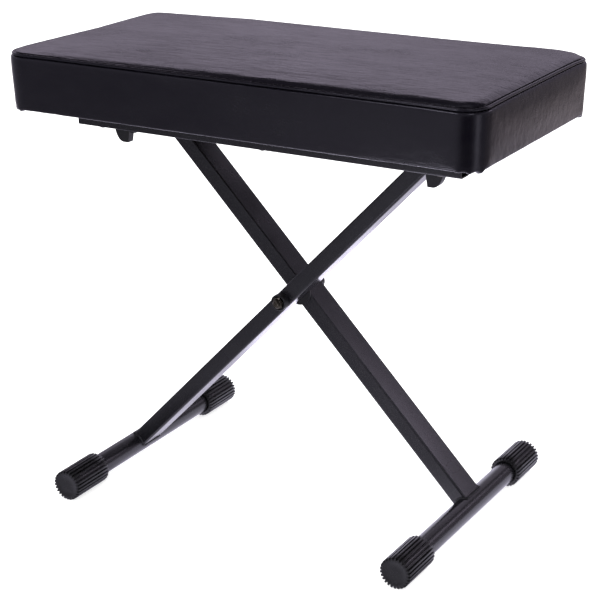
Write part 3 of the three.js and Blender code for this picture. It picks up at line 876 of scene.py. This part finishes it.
def surround():
    """A bowl that only reflections meet, so it neither lights nor hides anything: floor, backdrop and
    top, and the low strip inside it."""
    wall, ground = SURROUND_RADII[-1], -FLOOR_DROP
    rows = [(radius, ground, floor_glow, radius) for radius in SURROUND_RADII]
    rows += [(wall, height + ground, wall_glow, height) for height in SURROUND_HEIGHTS]
    rows += [(radius, SURROUND_TOP + ground, top_glow, radius) for radius in SURROUND_TOP_RADII]
    azimuths = [360 * k / SURROUND_STEPS for k in range(SURROUND_STEPS)]
    bowl, bowl_colours = lit_rings(rows, azimuths, True)
    rows = [(STRIP_RADIUS, height, strip_glow, height) for height in STRIP_HEIGHTS]
    strip, strip_colours = lit_rings(rows, range(*STRIP_AZIMUTHS), False)
    points, faces = joined([bowl, strip])
    mesh = bpy.data.meshes.new("surround")
    mesh.from_pydata(points, [], faces)
    glow = mesh.attributes.new("glow", "FLOAT_COLOR", "POINT")
    glow.data.foreach_set("color", bowl_colours + strip_colours)
    made = link("surround", mesh, glow_material())
    for ray in ("camera", "diffuse", "transmission", "volume_scatter", "shadow"):
        setattr(made, f"visible_{ray}", False)


# Cushion

seat_low, seat_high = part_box("cushion")
board_low, board_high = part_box("seat_board")
SEAT_X, SEAT_Y = seat_high.x, seat_high.y
BOARD_Z = seat_low.z
SEAM_Z = BOARD_Z + SEAM_HEIGHT


def ramp(values, low, high):
    """0 below low, 1 above high, straight between."""
    return np.clip((values - low) / (high - low), 0, 1)


def decay(distance, reach):
    """1 at no distance, dying away over reach."""
    return np.exp(-np.maximum(distance, 0) / reach)


def hump(distance, reach):
    """1 at no distance, falling as a bell of that half width."""
    return np.exp(-((distance / reach) ** 2))


def seat_outline(inset):
    """The seat's outline drawn in by inset, as (x, y) pairs."""
    radius = min(max(SEAT_CORNER - inset, SHARPEST_CORNER), SEAT_Y - inset)
    return rounded_outline(SEAT_X - inset, SEAT_Y - inset, max(radius, 0), *AROUND)


def seat_ring(inset, z):
    return level_ring(seat_outline(inset), z)


def from_edge(points):
    """How far each point lies in from the seat's outline, and the outline's point nearest to it."""
    inner = np.array([SEAT_X - SEAT_CORNER, SEAT_Y - SEAT_CORNER])
    flat = points[:, :2]
    over = np.abs(flat) - inner
    outside = np.maximum(over, 0)
    reach = np.linalg.norm(outside, axis=1)
    depth = SEAT_CORNER - reach - np.minimum(over.max(axis=1), 0)
    nearest = np.abs(flat).copy()
    corner = (over > 0).all(axis=1)
    long_side = ~corner & (over[:, 1] >= over[:, 0])
    short_side = ~corner & ~long_side
    nearest[long_side, 1] = SEAT_Y
    nearest[short_side, 0] = SEAT_X
    turn = outside[corner] / np.maximum(reach[corner], 1e-9)[:, None]
    nearest[corner] = inner + turn * SEAT_CORNER
    return depth, nearest * np.where(flat < 0, -1, 1)


def crown_rises():
    """How high the crown has risen at each distance in from the outline, from its slopes."""
    first, last = CROWN_SLOPES[0][0], CROWN_SLOPES[-1][0]
    insets = np.linspace(first, last, CROWN_STEPS)
    slopes = np.interp(insets, *zip(*CROWN_SLOPES))
    steps = np.tan(np.radians((slopes[1:] + slopes[:-1]) / 2)) * np.diff(insets)
    return insets * MM, np.concatenate([[0.0], np.cumsum(steps)]) * MM


CROWN_INSETS, CROWN_RISES = crown_rises()


def crown(x, y, inset):
    """The crown's height above the seam: it follows the outline near the edge, and further in the axes."""
    reaches = (inset, SEAT_X - abs(x), SEAT_Y - abs(y))
    rise, *across = [np.interp(reach, CROWN_INSETS, CROWN_RISES) for reach in reaches]
    inner = across[0] * across[1] / CROWN_RISES[-1]
    return CROWN_EDGE + rise + (inner - rise) * eased(inset, *CROWN_BLEND)


def side_swell(height):
    """The share of its swelling that the side has at that height."""
    return math.sin(math.pi * min(1.0, height / SEAM_HEIGHT)) ** SIDE_SWELL_POWER


def side_ring(height):
    inset = table(SIDE_PROFILE, height / MM) * MM + SIDE_SWELL * side_swell(height)
    return seat_ring(inset, BOARD_Z + height)


def crown_ring(inset, blank):
    """A ring over the crown, lower on the blank by what the cover swells there."""
    swell = TOP_SWELL * (1 - math.exp(-max(inset - PIPING_INSET, 0) / SWELL_REACH))
    base = SEAM_Z - (swell if blank else 0)
    return [Vector((x, y, base + crown(x, y, inset))) for x, y in seat_outline(inset)]


def cushion_blank():
    """The closed form that the cover is blown up from: drawn-in sides and a low crown."""
    rings = [seat_ring(BLANK_FOOT * MM, BOARD_Z)]
    rings += [side_ring(height * MM) for height in BLANK_SIDE]
    rings += [seat_ring(PIPING_INSET, SEAM_Z)]
    rings += [crown_ring(inset * MM, True) for inset in BLANK_CROWN]
    made = link("cushion_blank", mesh_of("cushion_blank", skin(rings), 35), VINYL)
    voxels = made.modifiers.new("voxels", "REMESH")
    voxels.mode = "VOXEL"
    voxels.voxel_size = VOXEL
    return baked(made)


def blown_up():
    """Blows the blank up as cloth, held at the seam and under the board; gives where its points start
    and how far they go."""
    blank = cushion_blank()
    start = vectors(blank.data.vertices, "co")
    depth, _ = from_edge(start)
    at_seam = (np.abs(start[:, 2] - SEAM_Z) < SEAM_HOLD[0]) & (depth < SEAM_HOLD[1])
    below = start[:, 2] < BOARD_Z + FOOT_HOLD
    held = blank.vertex_groups.new(name="held")
    held.add([int(i) for i in np.flatnonzero(at_seam | below)], 1.0, "REPLACE")
    cloth = blank.modifiers.new("cloth", "CLOTH")
    for key, value in CLOTH.items():
        setattr(cloth.settings, key, value)
    cloth.settings.effector_weights.gravity = 0
    cloth.settings.vertex_group_mass = "held"
    cloth.point_cache.frame_start = 1
    cloth.point_cache.frame_end = CLOTH_FRAMES
    for number in range(1, CLOTH_FRAMES + 1):
        bpy.context.scene.frame_set(number)
    baked(blank)
    moved = vectors(blank.data.vertices, "co") - start
    size = np.linalg.norm(moved, axis=1)
    upward = vectors(blank.data.vertex_normals, "vector")[:, 2] > UPWARD
    bpy.context.scene.frame_set(1)
    bpy.data.objects.remove(blank)
    cap = np.where(upward, TOP_SWELL, SIDE_SWELL)
    share = cap * np.tanh(size / cap) / np.maximum(size, 1e-9)
    return start, moved * share[:, None]


def noise_at(points, size, seed):
    """Smooth noise from -1 to 1 with features of about that size."""
    shift = Vector((seed * 7.1, seed * 3.7, seed * 5.3))
    return np.array([noise.noise(Vector(p) / size + shift) for p in points])


def sag(points):
    """How far the cover's upper edge hangs below its nominal height: most at the back corners."""
    x, y = points[:, 0], points[:, 1]
    drop = LEFT_SAG * ramp(y, *FRONT_FADE) * ramp(-x, *LEFT_SAG_FADE)
    drop += REAR_SAG * ramp(y, *REAR_SAG_FADE) * (1 - ramp(x, *REAR_SAG_END))
    for side_x, side_y, corner_drop, reach in CORNER_SAGS:
        drop += corner_drop * hump(np.hypot(x - side_x * SEAT_X, y - side_y * SEAT_Y), reach)
    return drop


def corner_share(nearest, reach):
    """1 at the corners' sharp points, 0 further along the outline than reach."""
    away = np.hypot(SEAT_X - np.abs(nearest[:, 0]), SEAT_Y - np.abs(nearest[:, 1]))
    return np.clip(1 - away / reach, 0, 1)


def cover_rings():
    """Rings of the cover from the pocket's ceiling, down its wall, round under the board's edge, up the
    side, through the seam's crease and over the crown; each with its kind."""
    ceiling_z, lip_z = board_high.z + POCKET_GAP, BOARD_Z - LIP_DROP
    under_z = lip_z - MARGIN_THICKNESS
    half_x, half_y = board_high.x + POCKET_GAP, board_high.y + POCKET_GAP
    wall = rounded_outline(half_x, half_y, POCKET_CORNER, *AROUND)
    rows = [("pocket", seat_ring(inset, ceiling_z)) for inset in (SEAT_Y, *POCKET_INSETS)]
    rows += [("pocket", level_ring(wall, z)) for z in (ceiling_z, lip_z)]
    rows.append(("lip", seat_ring(MARGIN_REACH, lip_z)))
    rows += [("under", seat_ring(inset * MM, under_z)) for inset in COVER_UNDER]
    for angle in quarter(HEM_STEPS)[1:-1]:
        inset = HEM_INSET + HEM_ROLL * (1 - math.sin(angle))
        rows.append(("under", seat_ring(inset, under_z + HEM_ROLL * (1 - math.cos(angle)))))
    rows += [("side", side_ring(height * MM)) for height in COVER_SIDE]
    rows += [("crease", seat_ring(inset * MM, SEAM_Z + rise * MM)) for inset, rise in CREASE]
    rows += [("crown", crown_ring(inset * MM, False)) for inset in COVER_CROWN]
    rows.append(("crown", crown_ring(SEAT_Y, False)))
    return rows


def swollen(rings, kinds, field):
    """Moves the rings by the cover's swelling: what it comes to on average, which the crown's slopes hold
    already, and on top of that how the simulated field differs from its own average along each ring."""
    tree = None
    if field is not None:
        start, moved = field
        tree = kdtree.KDTree(len(start))
        for i, p in enumerate(start):
            tree.insert(p, i)
        tree.balance()
    for ring, kind in zip(rings, kinds):
        if kind not in ("side", "crown"):
            continue
        ways = [Vector((0, 0, 1))] * len(ring)
        if kind == "side":
            ways = [outward_at(ring, i) for i in range(len(ring))]
        uneven = np.zeros(len(ring))
        if tree is not None:
            for i, p in enumerate(ring):
                near = tree.find_n(p, FIELD_POINTS)
                weights = [math.exp(-((distance / FIELD_REACH) ** 2)) + 1e-6 for _, _, distance in near]
                moves = [Vector(moved[k]).dot(ways[i]) for _, k, _ in near]
                uneven[i] = np.average(moves, weights=weights)
            uneven -= uneven.mean()
        for i, (p, way) in enumerate(zip(ring, ways)):
            mean = SIDE_SWELL * side_swell(p.z - BOARD_Z) if kind == "side" else 0.0
            p += way * (mean + uneven[i])


def outward_at(ring, i):
    """The level direction out of an anticlockwise ring at a point."""
    tangent = ring[(i + 1) % len(ring)] - ring[i - 1]
    return Vector((tangent.y, -tangent.x, 0)).normalized()


def dress_cover(points, kinds, out):
    """Presses the soft unevenness of foam, the seam's puckers and the corners' folds into the cover."""
    depth, nearest = from_edge(points)
    edge = np.column_stack([nearest, np.zeros(len(nearest))])
    on_crown, on_side, under = kinds == "crown", kinds == "side", kinds == "under"
    height = points[:, 2] - BOARD_Z
    in_corner = corner_share(nearest, CORNER_REACH)

    def waves(places, wave, seed):
        deep, size = wave
        return deep * noise_at(places, size, seed)

    push = np.zeros(len(points))
    for deep, drawn, size, seed in CROWN_WAVES:
        push += on_crown * waves(points * [drawn, 1.0, 1.0], (deep, size), seed)
    push *= ramp(depth, *WAVE_FADE)
    puckers = noise_at(edge, PUCKER_SIZE, 1) + 0.6 * noise_at(edge, PUCKER_SIZE / 2, 2)
    push += on_crown * puckers * CROWN_PUCKER[0] * decay(depth - WAVE_FADE[0], CROWN_PUCKER[1])
    push += on_side * puckers * SIDE_PUCKER[0] * decay(SEAM_HEIGHT - height, SIDE_PUCKER[1])
    push += on_side * waves(points * [1.0, 1.0, 0.5], SIDE_WAVE, 6)
    folds = waves(edge, HEM_FOLD, 7) * in_corner + waves(edge, HEM_WAVE, 8)
    push += (on_side | under) * decay(height, HEM_REACH) * folds
    moved = points + out * push[:, None]

    pleats = np.clip(noise_at(edge, PLEAT[1], 9) + PLEAT_SHARE, 0, 1) * PLEAT[0] * in_corner
    slack = SLACK[0] * (noise_at(edge, SLACK[1], 10) + SLACK_SHARE)
    flat = ramp(MARGIN_REACH - depth, 0, MARGIN_FADE) * ramp(depth, *HEM_FADE)
    moved[:, 2] -= under * flat * np.maximum(pleats + slack, 0)
    hanging = np.zeros(len(points))
    for side_x, side_y, angle, drop, width in GATHERS:
        turn = math.radians(angle)
        x = side_x * (SEAT_X - SEAT_CORNER) + SEAT_CORNER * math.cos(turn)
        y = side_y * (SEAT_Y - SEAT_CORNER) + SEAT_CORNER * math.sin(turn)
        hanging += drop * MM * hump(np.hypot(nearest[:, 0] - x, nearest[:, 1] - y), width * MM)
    low = under * hump(np.maximum(depth - GATHER_START, 0), GATHER_REACH)
    moved[:, 2] -= hanging * (low + on_side * np.exp(-height / GATHER_RISE))
    ragged = (under | (kinds == "lip")) * (depth > MARGIN_REACH - RAGGED_BAND) * waves(edge, RAGGED, 11)
    moved[:, :2] *= 1 + (ragged / SEAT_X)[:, None]
    slump = np.interp(points[:, 0] / MM, *zip(*FRONT_SLUMP)) * MM
    slump *= (1 - ramp(points[:, 1], *FRONT_FADE)) * (1 - decay(depth - SLUMP_START, SLUMP_REACH))
    moved[:, 2] -= on_crown * slump
    upper = ramp(height, SAG_FOOT, SEAM_HEIGHT) * on_side
    upper[(kinds == "crown") | (kinds == "crease")] = 1.0
    moved[:, 2] -= upper * sag(moved)
    return moved


def cushion():
    """The cover: one closed skin round the foam, with the pocket that the board lies in."""
    rows = cover_rings()
    kinds = [kind for kind, _ in rows]
    rings = [ring for _, ring in rows]
    swollen(rings, kinds, blown_up())
    points, faces = skin(rings)
    mesh = bpy.data.meshes.new("cushion_cover")
    mesh.from_pydata([tuple(p) for p in points], [], faces[:-2])
    mesh.update()
    point_kinds = np.repeat(np.array(kinds), len(rings[0]))
    out = vectors(mesh.vertex_normals, "vector")
    dressed = dress_cover(vectors(mesh.vertices, "co"), point_kinds, out)
    mesh.vertices.foreach_set("co", dressed.astype(np.float32).ravel())
    mesh.update()
    clean(mesh, 1e-6, dissolve=True)
    shade(mesh, COVER_SHARP)
    cover = link("cushion_cover", mesh, VINYL)
    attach(cover, "seat")
    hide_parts("cushion")


def piping():
    """The corded bead in the seam round the top."""
    half_x, half_y, corner = (size - PIPING_INSET for size in (SEAT_X, SEAT_Y, SEAT_CORNER))
    outline = rounded_outline(half_x, half_y, corner, *PIPING_AROUND)
    path = np.array([(x, y, SEAM_Z + PIPING_RISE) for x, y in outline])
    path[:, 2] += PIPING_LIFT[0] * noise_at(path, PIPING_LIFT[1], 12) - sag(path)
    path[:, :2] *= (1 + noise_at(path, PIPING_SWAY[1], 13) * PIPING_SWAY[0] / SEAT_X)[:, None]
    path = [Vector(p) for p in path]
    profile = [(-PIPING_TAIL, PIPING_TAIL_HALF), (-PIPING_TAIL, -PIPING_TAIL_HALF)]
    for step in range(PIPING_SIDES + 1):
        angle = math.radians((180 - PIPING_OPENING) * (2 * step / PIPING_SIDES - 1))
        profile.append((PIPING_RADIUS * math.cos(angle), PIPING_RADIUS * math.sin(angle)))
    rings = []
    for i, centre in enumerate(path):
        outward = outward_at(path, i)
        rings.append([centre + outward * u + Vector((0, 0, v)) for u, v in profile])
    piece("seam_piping", skin(rings, closed=True), VINYL, "seat", 60)


def staple(centre, along):
    """The skin of one staple's crown, with its ends bent up."""
    across = Vector((-along.y, along.x, 0))
    rings = []
    for share, lift in STAPLE_BENDS:
        end = centre + along * (share * STAPLE_LENGTH / 2) + Vector((0, 0, lift))
        wire = circle(STAPLE_WIRE, 0, STAPLE_SIDES)
        rings.append([end + across * p.x + Vector((0, 0, p.y)) for p in wire])
    return skin(rings)


def staples():
    """Wire staples through the turned vinyl, set a little unevenly."""
    half_x, half_y = SEAT_X - STAPLE_INSET, SEAT_Y - STAPLE_INSET
    outline = rounded_outline(half_x, half_y, STAPLE_CORNER, *STAPLE_AROUND)
    path = level_ring(outline, BOARD_Z - STAPLE_DROP - MARGIN_THICKNESS)
    travelled, row = 0.0, []
    for i, here in enumerate(path):
        step = path[(i + 1) % len(path)] - here
        travelled += step.length
        if travelled < STAPLE_PITCH * (len(row) + 0.5):
            continue
        tilt = STAPLE_TILT * noise.noise(Vector(((len(row) + 1) * 1.7, 0.3, 0.9)))
        row.append(staple(here, Matrix.Rotation(tilt, 3, "Z") @ step.normalized()))
    piece("staples", joined(row), WIRE, "seat")


# Foot caps

def rib_rise(angle):
    """1 on a rib's rounded top and 0 at the bottom of a groove; a rib's middle is straight down."""
    phase = ((angle / (2 * math.pi) * CAP_RIBS) + 0.5) % 1.0 - 0.5
    return eased(RIB_HALF - abs(phase), 0, RIB_FLANK) * (1 - RIB_CROWN * (2 * phase) ** 2)


def cap_stations(length):
    """A cap's rings: distance from the mouth, plain radius or how far in from the ribs' tops, and
    whether the ring is ribbed."""
    stations = [(along * MM, CAP_BORE + wider * MM, False) for along, wider in CAP_MOUTH]
    stations += [(along * MM, inside * MM, True) for along, inside in CAP_LIP]
    stations += [(length * k / 4, 0.0, True) for k in (1, 2, 3)]
    for angle in quarter(CAP_FILLET_STEPS):
        inside = CAP_FILLET * (1 - math.cos(angle))
        stations.append((length - CAP_FILLET * (1 - math.sin(angle)), inside, True))
    stations.append((length, CAP_DISC, False))
    dish = (CAP_DISC - CAP_DISH, *CAP_DISH_RADII)
    return stations + [(length - CAP_DISH, radius, False) for radius in dish]


def foot_cap(node, bar, body, facing):
    """A ribbed cap with a bore for its bar and a dished disc in its end."""
    low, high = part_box(node)
    centre = middle(bar)
    mouth = (low.y if facing > 0 else high.y) - CAP_FORWARD.get(node, 0.0)
    rings = []
    for distance, size, ribbed in cap_stations(high.y - low.y):
        ring = []
        for angle in turns(CAP_RIBS * CAP_RIB_STEPS):
            radius = CAP_RADIUS - size - CAP_GROOVE * (1 - rib_rise(angle)) if ribbed else size
            x, z = centre.x + radius * math.sin(angle), centre.z - radius * math.cos(angle)
            ring.append((x, mouth + facing * distance, z))
        rings.append(ring)
    made = piece(f"ribbed_{node}", skin(rings), RUBBER, body, 50)
    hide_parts(node)


def foot_caps():
    for letter in "ab":
        for end, facing in (("front", -1), ("back", 1)):
            foot_cap(f"foot_cap_{letter}_{end}", f"foot_bar_{letter}", f"leg_{letter}_frame", facing)


# Pivot hardware

def hex_reach(angle):
    """How far a hexagon reaches at that angle."""
    within = (angle + math.pi / 6) % (math.pi / 3) - math.pi / 6
    return HEX_ACROSS_CORNERS / 2 * math.cos(math.pi / 6) / math.cos(within)


def chamfered_hex(height, face_radius, both):
    """Rings of a hexagon head from its seat at 0 to its face, its corners cut by a cone."""
    slope = math.tan(math.radians(HEX_CHAMFER))

    def level(z, cut):
        ring = circle(hex_reach, z)
        for p in ring:
            p.z -= cut * (p.xy.length - face_radius) * slope
        return ring

    if both:
        start = [circle(face_radius, 0), level(0, -1)]
    else:
        start = [circle(hex_reach(0), 0), circle(hex_reach, 0)]
    return start + [level(height, 1), circle(face_radius, height)]


def pivot_frame():
    """The pivot's place in the middle plane, and the back-leaning leg's slope."""
    centre, foot = middle("pivot_spacer"), middle("foot_bar_a")
    return Vector((centre.x, 0, centre.z)), math.atan2(centre.z - foot.z, foot.x - centre.x)


def thread_at(z):
    """The thread's radius at that height, as a function of the angle."""
    def radius(angle):
        phase = (z / THREAD_PITCH - angle / (2 * math.pi)) % 1.0
        return THREAD_RADIUS - THREAD_DEPTH * abs(2 * phase - 1)
    return radius


def bolt():
    """Hexagon head with a cone-cut face and a shallow dish, and the threaded tip beyond the nut."""
    centre, lean = pivot_frame()
    low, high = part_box("pivot_bolt")
    nut_low, nut_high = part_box("pivot_nut")
    height = nut_high.y - nut_low.y
    rings = chamfered_hex(height, HEAD_FACE, False)
    rings += [circle(radius, height - depth) for radius, depth in HEAD_DISH]
    seat = along_y(Vector((centre.x, -nut_low.y - height, centre.z)), 1) @ Matrix.Rotation(lean, 4, "Z")
    head = piece("bolt_hex_head", skin(placed(rings, seat)), ZINC, "leg_a_frame", 22)
    start = nut_low.y + THREAD_START
    reach = start - low.y
    levels = [reach * k / THREAD_STEPS for k in range(THREAD_STEPS + 1)]
    rings = [circle(thread_at(z), z, THREAD_SIDES) for z in levels if z < reach - BOLT_END_LENGTH]
    rings += [circle(radius, reach - before, THREAD_SIDES) for radius, before in BOLT_END]
    rings = placed(rings, along_y(Vector((centre.x, start, centre.z)), -1))
    piece("bolt_threaded_tip", skin(rings), ZINC, "leg_a_frame", 40)
    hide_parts("pivot_bolt")


def lock_nut():
    """Lock nut: a hexagon with a rounded collar that grips the bolt's tip."""
    centre, lean = pivot_frame()
    low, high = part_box("pivot_nut")
    height = high.y - low.y
    rings = chamfered_hex(height - NUT_COLLAR, NUT_FACE, True)
    rings += [circle(radius * MM, height - before * MM) for radius, before in COLLAR]
    rings.append([Vector((*p.xy, 0)) for p in rings[-1]])
    seat = along_y(Vector((centre.x, high.y, centre.z)), -1) @ Matrix.Rotation(lean, 4, "Z")
    shape = skin(placed(rings, seat), closed=True)
    made = piece("lock_nut", shape, ZINC, "leg_a_frame", 22)
    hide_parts("pivot_nut")


def pivot_boss(end, facing):
    """Round boss with a rolled rim and a recess for the hexagon."""
    node = f"pivot_boss_{end}"
    low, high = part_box(node)
    length, outer = high.y - low.y, (high.x - low.x) / 2
    profile = [(BOSS_BORE, 0), (outer - BOSS_EDGE, 0), (outer, BOSS_EDGE)]
    for angle in quarter(BOSS_RIM_STEPS):
        inside = BOSS_RIM * (1 - math.cos(angle))
        profile.append((outer - inside, length - BOSS_RIM * (1 - math.sin(angle))))
    profile += [(radius * MM, length - before * MM) for radius, before in BOSS_RECESS]
    centre = middle(node)
    centre.y = low.y if facing > 0 else high.y
    rings = [circle(radius, z) for radius, z in profile]
    shape = skin(placed(rings, along_y(centre, facing)), closed=True)
    made = piece(f"round_{node}", shape, PLASTIC, "leg_a_frame", 40)
    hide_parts(node)


# Welds

def weld_bead(name, letter, bar):
    """A rippled bead where a leg's end meets its round bar."""
    bar_low, bar_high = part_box(bar)
    leg_low, leg_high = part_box(f"leg_{letter}")
    bar_radius, half_depth = (bar_high.x - bar_low.x) / 2, (leg_high.y - leg_low.y) / 2
    centre = middle(bar)
    toward = middle("pivot_spacer") - centre
    toward = Vector((toward.x, 0, toward.z)).normalized()
    across = Vector((toward.z, 0, -toward.x))
    centre.y = middle(f"leg_{letter}").y
    path, outward = [], []
    for u, v in rounded_outline(LEG_HALF_WIDTH, half_depth, LEG_CORNER, *BEAD_AROUND):
        rise = math.sqrt(max(bar_radius ** 2 - u ** 2, 0))
        path.append(centre + Vector((0, v, 0)) + across * u + toward * rise)
        level = across * u / LEG_HALF_WIDTH + Vector((0, v / half_depth, 0))
        outward.append(level.normalized() + toward * BEAD_LEAN)
    least, rippled, wandered = BEAD_SHARES
    travelled, radii = 0.0, []
    for i, p in enumerate(path):
        travelled += (p - path[i - 1]).length if i else 0.0
        ripple = abs(math.sin(math.pi * travelled / BEAD_PITCH))
        wander = noise.noise(p / BEAD_WANDER)
        radii.append(BEAD_RADIUS * (least + rippled * ripple + wandered * wander))
    shape = skin(sweep(path, outward, radii, BEAD_SIDES), closed=True)
    piece(name, shape, WELD, f"leg_{letter}_frame", 60)


def weld_beads():
    for letter in "ab":
        for end, bar in (("foot", "foot_bar"), ("cross", "cross_tube")):
            weld_bead(f"weld_{end}_{letter}", letter, f"{bar}_{letter}")


# Screws

def screw_head(name, centre):
    """A domed head that points down, with a cross recess."""
    rings = []
    for angle in quarter(SCREW_LEVELS):
        radius = max(SCREW_HEAD * math.cos(angle), SCREW_POLE)
        ring = circle(radius, SCREW_RISE * math.sin(angle), SCREW_SIDES)
        for p in ring:
            near, far = sorted((abs(p.x), abs(p.y)))
            if near < RECESS_HALF and far < RECESS_ARM:
                p.z -= RECESS_DEPTH
        rings.append(ring)
    down = Matrix.Translation(centre) @ Matrix.Rotation(math.pi, 4, "X")
    piece(name, skin(placed(rings, down)), ZINC, "seat", 40)


def rail_screws():
    for end in ("front", "back"):
        low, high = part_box(f"seat_rail_{end}")
        places = {"left": low.x + RAIL_SCREW_INSET, "right": high.x - RAIL_SCREW_INSET, "middle": 0.0}
        for side, x in places.items():
            screw_head(f"rail_screw_{end}_{side}", Vector((x, (low.y + high.y) / 2, low.z)))


# CAD nodes that show

FINISHES = {
    "black_steel": COAT,
    "bolt_steel": ZINC,
    "cap_rubber": RUBBER,
    "black_plastic": PLASTIC,
    "seat_vinyl": VINYL,
    "board_wood": BOARD,
}


def crisp_edges():
    """A node tree that joins a mesh's split points and shades it smooth, with its real edges sharp."""
    tree = bpy.data.node_groups.new("crisp_edges", "GeometryNodeTree")
    for way in ("INPUT", "OUTPUT"):
        tree.interface.new_socket("Geometry", in_out=way, socket_type="NodeSocketGeometry")
    start = tree.nodes.new("NodeGroupInput")
    end = tree.nodes.new("NodeGroupOutput")
    merge = tree.nodes.new("GeometryNodeMergeByDistance")
    merge.inputs["Distance"].default_value = MERGE_DISTANCE
    faces = tree.nodes.new("GeometryNodeSetShadeSmooth")
    faces.domain = "FACE"
    edges = tree.nodes.new("GeometryNodeSetShadeSmooth")
    edges.domain = "EDGE"
    edges.inputs["Shade Smooth"].default_value = False
    angle = tree.nodes.new("GeometryNodeInputMeshEdgeAngle")
    past = tree.nodes.new("FunctionNodeCompare")
    past.inputs[1].default_value = math.radians(SHARP_ANGLE)
    tree.links.new(angle.outputs["Unsigned Angle"], past.inputs[0])
    tree.links.new(start.outputs[0], merge.inputs["Geometry"])
    tree.links.new(merge.outputs["Geometry"], faces.inputs["Geometry"])
    tree.links.new(faces.outputs["Geometry"], edges.inputs["Geometry"])
    tree.links.new(past.outputs["Result"], edges.inputs["Selection"])
    tree.links.new(edges.outputs["Geometry"], end.inputs[0])
    return tree


def finish_nodes():
    """Gives every CAD node its material and clean shading."""
    slots = {row["node"]: row["material_slot"] for row in frame["record"]["subparts"]}
    crisp = crisp_edges()
    for name, node in frame["nodes"].items():
        node.data.materials.clear()
        node.data.materials.append(FINISHES[slots[name]])
        modifier = node.modifiers.new("crisp", "NODES")
        modifier.node_group = crisp
        weighted = node.modifiers.new("weighted", "WEIGHTED_NORMAL")
        weighted.keep_sharp = True


bpy.context.scene.view_settings.view_transform = "Standard"
camera()
floor()
surround()
world_light()
ceiling()
finish_nodes()
cushion()
piping()
staples()
foot_caps()
bolt()
lock_nut()
pivot_boss("front", -1)
pivot_boss("back", 1)
weld_beads()
rail_screws()
